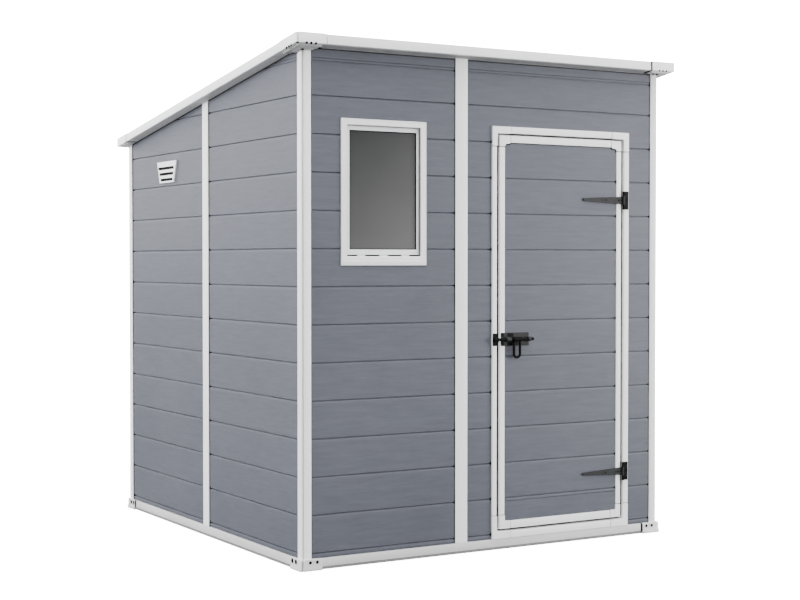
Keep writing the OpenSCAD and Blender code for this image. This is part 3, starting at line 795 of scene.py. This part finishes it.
def mouldedRing(name, node, trim, body):
    low, high = cad(node)
    x0, x1 = low.x + trim.ends[0], high.x - trim.ends[1]
    y0, y1, z0, z1 = low.y, high.y, low.z, high.z
    legX, legTop, legLow = trim.legs
    seam, over, edge = joinery.seam, joinery.over, joinery.edge
    rounds = [edge, trim.round, edge, edge]
    shape = bmesh.new()
    for dx, xs, side in zip((1, -1), (x0, x1), trim.sides):
        for z, dz, across, leg, step in ((z1, -1, trim.head, legTop, trim.step),
                                         (z0, 1, trim.sill, legLow, None)):
            cornerPiece(shape, xs, z, dx, dz, side + over, across + over, legX, leg, y0 - joinery.proud, y1, step)
        inner = xs + dx * side
        outline = softCorners([(xs, y0), (inner, y0), (inner, y1), (xs, y1)], rounds)
        draw(shape, outline, z0 + legLow + seam, z1 - legTop - seam, overPlan)
    for zOut, zIn in ((z1, z1 - trim.head), (z0, z0 + trim.sill)):
        outline = softCorners([(y0, zOut), (y0, zIn), (y1, zIn), (y1, zOut)], rounds)
        draw(shape, outline, x0 + legX + seam, x1 - legX - seam, acrossX)
    piece(shape, name, "trimWhite", body=body, stands=[node], bevel=0.5, angle=40)


rimLow, rimHigh = cad("door_rim")
panelLow, panelHigh = cad("door_panel")
mouldedRing("doorFrameTrim", "door_frame", frameTrim, "shell")
mouldedRing("doorLeafTrim", "door_rim", leafTrim, "door")

# black strips that paint the shade in the door gaps: one lining the frame's hole, one on the hinge side and one on
# the leaf's side
gapShadeSeals = Values(
    thick=1.2, sunk=0.3, hole=(29.0, 31.0, 28.0), frameFront=26.0, sideFront=13.0, leafFront=10.6,
    leafDeep=24.0, leafOut=0.9, leafEnd=5.0)
thick, sunk = gapShadeSeals.thick, gapShadeSeals.sunk
holeX0, holeX1 = doorLow.x + gapShadeSeals.hole[0], doorHigh.x - gapShadeSeals.hole[0]
holeZ0, holeZ1 = doorLow.z + gapShadeSeals.hole[1], doorHigh.z - gapShadeSeals.hole[2]
gapShadeFront, gapShadeBack = doorLow.y + gapShadeSeals.frameFront, doorHigh.y
lofted("doorFrameGapShade", "rubberBlackAndShade", [
    [(x, y, z) for x, z in brick(holeX0 - out, holeX1 + out, holeZ0 - out, holeZ1 + out)]
    for y, out in ((gapShadeFront, -thick), (gapShadeFront, sunk), (gapShadeBack, sunk), (gapShadeBack, -thick))], True)
lofted("doorHingeGapShade", "rubberBlackAndShade", bar(
    brick(holeX1 - thick, holeX1 + sunk, doorLow.y + gapShadeSeals.sideFront, gapShadeFront + 1), holeZ0, holeZ1, overPlan))
lofted("doorLeafSideShade", "rubberBlackAndShade", bar(
    brick(rimLow.x - gapShadeSeals.leafOut, rimLow.x + sunk, rimLow.y + gapShadeSeals.leafFront, rimLow.y + gapShadeSeals.leafDeep),
    rimLow.z + gapShadeSeals.leafEnd, rimHigh.z - gapShadeSeals.leafEnd, overPlan), body="door")


def leafFace(u, w, z):
    return (u, panelLow.y - w, z)


leaf = Values(below=20, above=8, doubleLine=14.0, gap=(1.6, 0.2))
leafX0, leafX1, channel, beyond = panelLow.x, panelHigh.x, planks.channel, planks.beyond
leafMarks = [m for m in joints if panelLow.z + leaf.below < m < panelHigh.z - leaf.above]
shape = bmesh.new()
plankPanel(shape, leafFace, (leafX0, leafX1), (panelLow.z, panelHigh.z), panelHigh.y - panelLow.y, leafMarks,
           [(leafX1 - channel, leafX1 + 1, -1, beyond), (leafX0 - 1, leafX0 + channel, -1, beyond)],
           thin=[leafMarks[0] - leaf.doubleLine])
piece(shape, "doorLeafPlanks", "plankGrey", body="door", stands=["door_panel"], angle=38)
# dark shapes that paint the shade under the rim's top corners, in the gap at the leaf's right edge and in the holes
# at the joint ends
leafShadows = bmesh.new()
taller, wider, longer = joinery.shadow
for dx, xs, side in zip((1, -1), (rimLow.x, rimHigh.x - leafTrim.ends[1]), leafTrim.sides):
    cornerPiece(leafShadows, xs, rimHigh.z, dx, -1, side + wider, leafTrim.head + taller,
                *[leg + longer for leg in leafTrim.legs[:2]], panelLow.y - 0.5, panelLow.y + 0.5, leafTrim.step)
shadePlug(leafShadows, leafFace, leafX1 - leaf.gap[0], leafX1 + leaf.gap[1], panelLow.z, panelHigh.z, planks.gapOut)
for m in leafMarks:
    jointHoleShade(leafShadows, leafFace, leafX1 - planks.pinWide[0], leafX1 + leaf.gap[1], m)
piece(leafShadows, "doorLeafGapShadows", "rubberBlackAndShade", body="door")
print("door made")


# window: surround, sash with its gap and tabs, gasket and pane; a black strip and a grey liner paint the shade in
# the gaps

# face has rows across the surround's front: reach from the sides, reach from the foot, and depth
glazed = Values(
    bottom=36.5, side=27.0, top=24.2, corner=22.0, gap=5.0, rim=12.0, rightRim=8.0, topRim=14.3, lowRim=21.5,
    lower=4.5, upper=2.8, tabs=(-97.0, 4.0, 103.0), tab=34.0, groove=4.0, recess=8.0, paneBack=8.0,
    face=((0.0, 0.0, 2.0), (0.8, 1.0, 0.8), (2.4, 4.0, 0.0), (2.5, 18.0, 0.0), (2.6, 19.0, 1.2)),
    bevel=(2, 4, 1.2), reveal=(2.8, 3.2))
w0, w1, s0, s1 = windowLow, windowHigh, sashLow, sashHigh
inset, lowInset, gap = glazed.side, glazed.bottom, glazed.gap
front, face = w0.y, s0.y + glazed.recess
deep = face + glazed.groove


def around(side, lowSide, y, lowY=None):
    # the points at corner height keep the sides flat where the bottom slopes
    top = w1.z - (side - glazed.side + glazed.top if side > 15 else side)
    left, right, low, lowY = w0.x + side, w1.x - side, w0.z + lowSide, y if lowY is None else lowY
    bend = low + glazed.corner
    return [(left, lowY, low), (right, lowY, low),
            (right, y, bend), (right, y, top), (left, y, top), (left, y, bend)]


def sashRing(y, inset, extra=0, low=None):
    # extra 1 follows the rim's own widths at the top and the bottom
    left, right = inset + extra * glazed.rim, inset + extra * glazed.rightRim
    top = s1.z + glazed.upper - inset - extra * glazed.topRim
    foot = s0.z - glazed.lower + (inset if low is None else low) + extra * glazed.lowRim
    return [(x, y, z) for x, z in brick(s0.x + left, s1.x - right, foot, top)]


behind, lowBehind = inset - lining + 0.3, lowInset - lining + 0.3
bevelSide, bevelLow, bevelDeep = glazed.bevel
lofted("windowSurround", "trimWhite", [
    around(0, 0, frontY), *[around(side, foot, front + sink) for side, foot, sink in glazed.face],
    around(inset - bevelSide, lowInset - bevelLow, front + bevelDeep),
    around(inset, lowInset, *[front + sink for sink in glazed.reveal]), around(inset, lowInset, w1.y),
    around(behind, lowBehind, w1.y), around(behind, lowBehind, frontY)], True, stands=["window_frame"], angle=24)

paneLow, paneHigh = cad("window_glass")
paneFront, paneRear = (y + glazed.paneBack for y in (paneLow.y, paneHigh.y))
shape = bmesh.new()
loft(shape, [
    sashRing(s1.y, 0.4), sashRing(deep + 1.5, 0.4), sashRing(deep + 1.5, 1.3, low=gap),
    sashRing(face + 1.2, 1.3, low=gap), sashRing(face, 2.5, low=gap + 1), sashRing(face, gap - 1.2, 1),
    sashRing(face + 1.2, gap, 1), sashRing(s1.y, gap, 1)], True)
middle, slotZ = (s0.x + s1.x) / 2, s0.z - glazed.lower
for spot in glazed.tabs:
    x0, x1 = (middle + spot + side * glazed.tab / 2 for side in (-1, 1))
    draw(shape, brick(x0, x1, slotZ + 0.3, slotZ + gap + 0.5), face + 0.5, deep + 1.6, acrossY)
piece(shape, "windowSash", "trimWhite", stands=["window_sash"], angle=28)

shape = bmesh.new()
# black strip behind the gap under the sash, painted shade of the gap; the ring after it is the gasket round the
# pane
draw(shape, brick(s0.x + 1.6, s1.x - 1.6, slotZ + 0.5, slotZ + gap - 0.1), deep, deep + 1.4, acrossY)
loft(shape, [sashRing(y, gap + out, 1) for y, out in (
    (face + 0.8, 0.1), (paneFront - 0.1, 0.1), (paneFront - 0.1, 2.6), (face + 2.6, 2.6), (face + 0.8, 1.4))], True)
piece(shape, "windowGasketAndSlotShade", "rubberBlackAndShade")
# grey liner in the reveal between surround and sash, painted shade
lofted("windowRevealShade", "paintedShadeGrey", [around(inset + out, lowInset + lowOut, y) for out, lowOut, y in (
    (-0.3, -0.3, front + 4.0), (0.9, 0.3, front + 4.0), (0.9, 0.3, deep), (-0.3, -0.3, deep))], True, angle=30)
lofted("windowPane", "greyPane", [sashRing(y, gap + 0.2, 1) for y in (paneFront, paneRear)],
       stands=["window_glass"], bevel=0.4)
print("window made")


# louvred vents; each slot has its height above the middle and the margins at its back and front ends

louvres = Values(
    rim=4.5, slots=((18.0, 5.0, 22.0), (-8.0, 9.0, 20.0), (-34.0, 14.0, 18.0)), slotHigh=12.0, narrower=64.0,
    proud=8.0, lipShare=0.6, lipBack=1.0, overlap=0.05, panel=6.6, mesh=5.4, meshInset=(2, 3), wider=5.0)


def ventShape(shape, backing, face):
    half = (ventHigh.y - ventLow.y) / 2 + louvres.wider
    low, high = ventLow.z, ventHigh.z
    rim, panel, mesh, tall = louvres.rim, louvres.panel, louvres.mesh, louvres.slotHigh / 2

    def reach(z):
        return half - (high - z) * louvres.narrower / 2 / (high - low)

    def plate(target, outline, deep, out):
        loft(target, [[face(vents.middle + louvres.wider + a, w, b) for a, b in outline] for w in (deep, out)])

    def across(target, foot, top, margin, deep, out):
        a, b = reach(foot) - margin, reach(top) - margin
        plate(target, [(-a, foot), (a, foot), (b, top), (-b, top)], deep, out)

    for side in (-1, 1):
        outer = [(side * (reach(z) - w), z) for z, w in ((low, 0), (low, rim), (high, rim), (high, 0))]
        plate(shape, outer, 0.0, louvres.proud)
    lip = rim * louvres.lipShare
    for foot, top in ((low, low + lip), (high - lip, high)):
        across(shape, foot, top, rim, 0.0, louvres.proud - louvres.lipBack)
    edges = [high]
    for rise, *margins in louvres.slots:
        z = vents.level + rise
        foot, top = z - tall, z + tall
        edges += [top, foot]
        for side, margin in zip((1, -1), margins):
            inner = reach(z) - margin
            plate(shape, [(side * (reach(foot) - rim), foot), (side * inner, foot), (side * inner, top),
                          (side * (reach(top) - rim), top)], mesh, panel)
    edges.append(low)
    for top, foot in zip(edges[::2], edges[1::2]):
        across(shape, foot, top, rim + louvres.overlap, mesh, panel)
    # dark sheet behind the slots, painted shade of the inside seen through them
    side, end = louvres.meshInset
    a, b = reach(high) - rim - side, reach(low) - rim - side
    plate(backing, [(-b, low + end), (b, low + end), (a, high - end), (-a, high - end)], 0.1, mesh - 0.1)


shape, backing = blank(2)
for face in (leftFace, rightFace):
    ventShape(shape, backing, face)
piece(backing, "ventSlotShade", "rubberBlackAndShade", angle=30)
piece(shape, "sideLouvres", "trimWhite", stands=["side_vents"], bevel=0.9, angle=30)
print("vents made")


# roof: panels, boards and corner caps. Heights are measured down from the top of the roof

roofing = Values(
    edge=1.6, lowEdge=0.6, boardDrop=1.6, boardOut=1.4, deck=6.0, seam=3.6, darkSeam=8.5, ribStart=14.0,
    ribPitch=96.0, ribWide=30.0, rib=4.0, ribSlant=5.0, ribEnd=20.0)


def onRoof(x, y, drop):
    return (x, y, roofTop(y) - drop)


def roofBox(shape, x0, x1, y0, y1, top, foot):
    loft(shape, [[onRoof(x, y, drop) for y, drop in brick(y0, y1, top, foot)] for x in (x0, x1)])


deck, trough = roofing.deck, roofing.deck - roofing.rib
for name, side in (("left", -1), ("right", 1)):
    low, high = cad("roof_panel_" + name)
    outer = max(abs(low.x), abs(high.x))
    x, wide, slant = roofing.ribStart, roofing.ribWide, roofing.ribSlant
    section = [(0.0, trough), (x, trough), (x + 4, deck)]
    x += roofing.ribPitch / 2
    while x + wide < outer - roofing.ribEnd:
        section += [(x, deck), (x + slant, trough), (x + wide - slant, trough), (x + wide, deck)]
        x += roofing.ribPitch
    section += [(outer, deck), (outer, boardHigh), (0.4, boardHigh)]
    rings = [[onRoof(side * a, y, b) for a, b in section] for y in (low.y, high.y)]
    thing = lofted("roofSheet" + label(name), "roofGrey", rings, stands=["roof_panel_" + name], angle=30)
    # the roof's underside takes the soffit's painted shade
    thing.data.materials.append(finishes["soffitPaintedShade"])
    for polygon in thing.data.polygons:
        polygon.material_index = int(polygon.normal.z < 0.3)

# foot and top have rows of drop and inset; a plate or block has inset, width and legs
caps = Values(
    leg=129.0, rightLeg=121.0, frontLegY=150.0, backLegY=115.0, out=6.0, wide=14.0, nearRound=11.0, fold=6.0,
    farRound=0.8, foot=((0.6, 0.6), (0.0, 0.0)), top=((1.4, 0.0), (0.4, 0.4), (0.0, 1.4)), inner=(12.0, 34.0),
    innerHigh=3.0, plateWide=43.0, plateTop=(14.0, 116.0, 6.0), plateFoot=(16.0, 108.0, 14.0), plateEdge=2.0,
    blockTop=(20.0, 43.3, 104.0, 108.0), blockFoot=(32.0, 43.3, 88.0, 92.0), hang=16.0, step=8.0,
    bolt=(6.5, 3.2), dotsAlong=(44.0, 63.0, 83.0),
    near=Values(flange=9.0, dotDrop=-1.2, dotRadius=4.8), far=Values(flange=5.5, dotDrop=0.8, dotRadius=3.8))
# bolts under the near and the right front cap: reach along x and y, and drop below the board
capBolts = {
    "near": ((7.0, 7.0, 0.0), (44.0, 37.0, caps.hang), (116.0, 32.0, caps.step), (30.0, 98.0, 9.0)),
    "right": ((88.0, 36.0, 5.5), (66.0, 38.0, 5.5)),
}

for name, node in (("eavesFront", "fascia_front"), ("eavesBack", "fascia_back"),
                   ("vergeLeft", "fascia_left"), ("vergeRight", "fascia_right")):
    low, high = cad(node)
    alongX = name.startswith("eaves")
    along, out = (0, 1) if alongX else (1, 0)
    if alongX:
        low.x = capLow.x + caps.leg + roofing.seam
        high.x = capHigh.x - (caps.rightLeg + roofing.darkSeam if low.y < 0 else caps.leg + roofing.seam)
    else:
        low.y, high.y = low.y + roofing.seam, high.y - roofing.seam
    if low[out] < 0:
        low[out] -= roofing.boardOut
    else:
        high[out] += roofing.boardOut
    outline = softBrick(low[out], high[out], roofing.boardDrop, boardHigh, roofing.edge, roofing.lowEdge)
    rings = [[onRoof(a, b, drop) if alongX else onRoof(b, a, drop) for b, drop in outline]
             for a in (low[along], high[along])]
    lofted(name, "trimWhite", rings, stands=[node], angle=40)

# strips under the verges, between the boards and the walls, in a lighter painted shade of the white trim
verge = bmesh.new()
boardIn = cad("fascia_left")[1].x + 1.5
for side in (-1, 1):
    across = sorted((side * -boardIn, side * (sideX + 0.5)))
    loft(verge, [[onRoof(x, y, b) for x, b in brick(*across, boardHigh - 0.5, boardHigh + 0.7)]
                 for y in (frontY, backY)])
piece(verge, "vergeSoffits", "vergePaintedShade", angle=34)

capShape, plates, farPlates, studsAndSeamShade = blank(4)
for sx in (-1, 1):
    for sy in (-1, 1):
        near, front = sx + sy == -2, sy < 0
        legAlong = caps.rightLeg if front and not near else caps.leg
        legDown = caps.frontLegY if front else caps.backLegY
        at, kind = inward(capLow, capHigh, sx, sy, caps.out), caps["near" if near else "far"]

        def under(a, b, drop):
            return onRoof(*at(a, b), drop)

        def capRing(drop, inset, wide=caps.wide, legX=legAlong, legY=legDown, plain=False):
            folded = near and not plain
            fold = foldedCorner(caps.nearRound, caps.fold) if folded else plainCorner(30, caps.farRound)[1:-1]
            outline = [(inset, legY), (wide, legY), (wide, wide), (legX, wide), (legX, inset)]
            return [under(a, b, drop) for a, b in outline + [(a + inset, b + inset) for a, b in fold]]

        loft(capShape, [capRing(boardHigh + drop, inset) for drop, inset in caps.foot]
             + [capRing(drop, inset) for drop, inset in caps.top])
        loft(capShape, [capRing(drop, *caps.inner, plain=True) for drop in (deck, deck - caps.innerHigh)])
        flange = boardHigh + kind.flange
        # the near plates take the deeper painted shade, the far plates the lighter one
        loft(plates if near else farPlates, [
            capRing(drop, inset, caps.plateWide, legX, legDown - short, True) for drop, (inset, legX, short) in (
                (flange, caps.plateFoot), (flange - caps.plateEdge, caps.plateTop), (boardHigh, caps.plateTop))])
        if near:
            loft(plates, [capRing(boardHigh + caps.hang, *caps.blockFoot, True),
                          capRing(boardHigh + caps.step, *caps.blockTop, True)])
        if front:
            for a, b, drop in capBolts["near" if near else "right"]:
                screwHead(studsAndSeamShade, under(a, b, boardHigh + drop), (0, 0, -1), *caps.bolt)
            # small bolts along the lower edge of the front caps
            radius, drop = kind.dotRadius, boardHigh - kind.dotDrop
            for reach in caps.dotsAlong:
                spots = [(under(reach, 0, drop), (0, sy, 0)), (under(0, reach + 2, drop), (sx, 0, 0))]
                for spot, axis in spots if near else spots[:1]:
                    turned(studsAndSeamShade, spot, axis, [(-2, radius), (0.5, radius), (1.2, radius * 0.7)], 14)

# dark blocks painting the shade in the open joints at the right end of the front board, down its face and back
# under the eaves, and under the eaves beside the back caps
seamX, seamY, seamWide = capHigh.x - caps.rightLeg, capHigh.y - caps.backLegY, roofing.darkSeam
for y0, y1, top, foot in ((capLow.y + 2.0, capLow.y + 12.0, 2.0, boardHigh),
                          (capLow.y + 1.0, frontY - 1.0, boardHigh - 2.0, boardHigh + 0.8)):
    roofBox(studsAndSeamShade, seamX + 0.5, seamX - (seamWide + 0.5), y0, y1, top, foot)
for side in (-1, 1):
    roofBox(studsAndSeamShade, side * (capHigh.x - 2.0), side * (sideX + 1.0), seamY - seamWide, seamY + 0.5,
            boardHigh - 1.0, boardHigh + 1.2)
piece(capShape, "roofCornerCaps", "trimWhite", stands=["roof_corner_caps"], angle=34)
piece(plates, "soffitCornerPlates", "soffitPaintedShade", angle=34)
piece(farPlates, "soffitBackPlates", "vergePaintedShade", angle=34)
piece(endGapShade, "endGapShade", "rubberBlackAndShade", angle=34)
piece(studsAndSeamShade, "roofCapBoltsAndSeamShade", "rubberBlackAndShade")
print("roof made")


# floor with raised tread pads

tread = Values(pad=92.0, gap=8.0, high=1.6, edge=1.2, margin=10)
low, high = cad("floor")
shape = bmesh.new()
draw(shape, brick(low.x, high.x, low.y, high.y), low.z, high.z - tread.high, overPlan)
pad, gap = tread.pad, tread.gap
pitch = pad + gap
countX, countY = (int((high[k] - low[k] - tread.margin) // pitch) for k in (0, 1))
startX, startY = -countX * pitch / 2, (low.y + high.y) / 2 - countY * pitch / 2
for i in range(countX):
    for j in range(countY):
        x, y = startX + i * pitch + gap / 2, startY + j * pitch + gap / 2
        loft(shape, [[(*p, z) for p in brick(x + s, x + pad - s, y + s, y + pad - s)]
                     for z, s in ((high.z - tread.high, 0), (high.z - 0.4, 0.2), (high.z, tread.edge))])
piece(shape, "floorDeck", "floorGrey", stands=["floor"], angle=30)
print("floor made")


# parts kept from the frame get their finish and softened edges, and the loop handle is made thicker

handleGrowth = 0.9
kept = {"door_stop": ("trimWhite", 1.0), "hinge_plates": ("blackIron", 0.5), "hinge_straps": ("ironGreyAndShade", 0.8),
        "bolt_keeper": ("blackIron", 0.6), "bolt_plate": ("ironGreyAndShade", 0.6), "bolt_rod": ("blackIron", 0.3),
        "bolt_handle": ("blackIron", 0)}
for node, (finish, width) in kept.items():
    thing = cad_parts[node]
    thing.data.materials.clear()
    thing.data.materials.append(finishes[finish])
    if width:
        soften(thing, width, 35, False)
    else:
        thicker = thing.modifiers.new("thicker", "DISPLACE")
        thicker.strength, thicker.mid_level = handleGrowth / 1000, 0.0

# screws in the hinges, dark feet of the bolt's guides
fittings = Values(
    screw=(3.2, 1.2), hingeX=678.0, hingeZ=(1451.0, 282.0), onPlate=(-28.0, 0.0, 28.0),
    alongStrap=(18.0, 30.0, 99.0), feet=((46.0, 56.0), (76.0, 104.0)), footThick=1.2, footRise=(11.0, 25.0),
    plateThick=2.5)
(plateLow, plateHigh), (rodLow, rodHigh), strapLow = cad("hinge_plates"), cad("bolt_rod"), cad("hinge_straps")[0]
shellScrews, doorScrews, guideFeet = blank(3)
for z in fittings.hingeZ:
    spots = [(shellScrews, (plateLow.x + plateHigh.x) / 2 + 4, plateLow.y, rise) for rise in fittings.onPlate]
    spots += [(doorScrews, fittings.hingeX - reach, strapLow.y, 0.0) for reach in fittings.alongStrap]
    for target, x, y, rise in spots:
        screwHead(target, (x, y + 0.1, z + rise), (0, -1, 0), *fittings.screw)
rodZ, plateFace = (rodLow.z + rodHigh.z) / 2, rimLow.y - fittings.plateThick
for x0, x1 in fittings.feet:
    for side in (-1, 1):
        draw(guideFeet, brick(x0, x1, plateFace - fittings.footThick, plateFace + 0.5),
             *sorted(rodZ + side * rise for rise in fittings.footRise), overPlan)
piece(guideFeet, "boltGuideFeet", "blackIron", body="door")
piece(shellScrews, "hingePlateScrews", "blackIron")
piece(doorScrews, "hingeStrapScrews", "blackIron", body="door")
print("fittings finished")


# stage: a soft sky that the camera sees as white, and a pale floor that fades into it

stage = Values(
    floorTone=(0.22, 0.22, 0.22), sky=(1.86, 0.80), skyHeight=(0.0, 0.8), tint=(0.975, 0.985, 1.0),
    darkSide=(0.51, 0.86, 0.0), darkest=0.3, darkRange=(0.6, 0.95), white=14.0, haze=(1.6, 5.5), hazeLeast=0.55,
    footprint=(0.864, 0.884), size=60)


def blankTree(owner):
    owner.use_nodes = True
    owner.node_tree.nodes.clear()
    return owner.node_tree


def glowing(tree, kind, colour, strength):
    return addNode(tree, kind, {"Color": (*colour, 1), "Strength": strength})[0]


world = bpy.data.worlds.new("studio")
bpy.context.scene.world = world
tree = blankTree(world)
direction = placeOf(tree, "Generated")
towards = addNode(tree, "VectorMath", {0: direction, 1: stage.darkSide}, operation="DOT_PRODUCT")["Value"]
skyPower = times(tree, spread(tree, split(tree, direction)[2], *stage.sky, *stage.skyHeight),
                 spread(tree, towards, 1.0, stage.darkest, *stage.darkRange))
mixed = addNode(tree, "MixShader", {
    0: addNode(tree, "LightPath")["Is Camera Ray"], 1: glowing(tree, "Background", stage.tint, skyPower),
    2: glowing(tree, "Background", (1, 1, 1), stage.white)})[0]
addNode(tree, "OutputWorld", {0: mixed})

shape = bmesh.new()
bmesh.ops.create_grid(shape, x_segments=4, y_segments=4, size=stage.size)
mesh = bpy.data.meshes.new("paleFloor")
shape.to_mesh(mesh)
shape.free()
paleFloor = addThing("paleFloor", mesh)
mesh.materials.append(bpy.data.materials.new("paleFloor"))
tree = blankTree(mesh.materials[0])
spot = placeOf(tree)
away = addNode(tree, "VectorMath", {0: spot}, operation="LENGTH")["Value"]
fade = times(tree, spread(tree, away, stage.hazeLeast, 1.0, *stage.haze),
             addNode(tree, "LightPath")["Is Camera Ray"])
within = split(tree, addNode(tree, "VectorMath", {0: spot}, operation="ABSOLUTE")[0])
beneath = times(tree, *[doMath(tree, "LESS_THAN", within[k], stage.footprint[k]) for k in (0, 1)])
matte = addNode(tree, "BsdfDiffuse", {"Color": (*stage.floorTone, 1)})[0]
share = times(tree, fade, doMath(tree, "SUBTRACT", 1.0, beneath))
mixed = addNode(tree, "MixShader", {0: share, 1: matte, 2: glowing(tree, "Emission", (1, 1, 1), stage.white)})[0]
addNode(tree, "OutputMaterial", {0: mixed})

bpy.context.scene.view_settings.view_transform = "AgX"
bpy.context.scene.view_settings.look = "AgX - Medium High Contrast"
print("stage set")
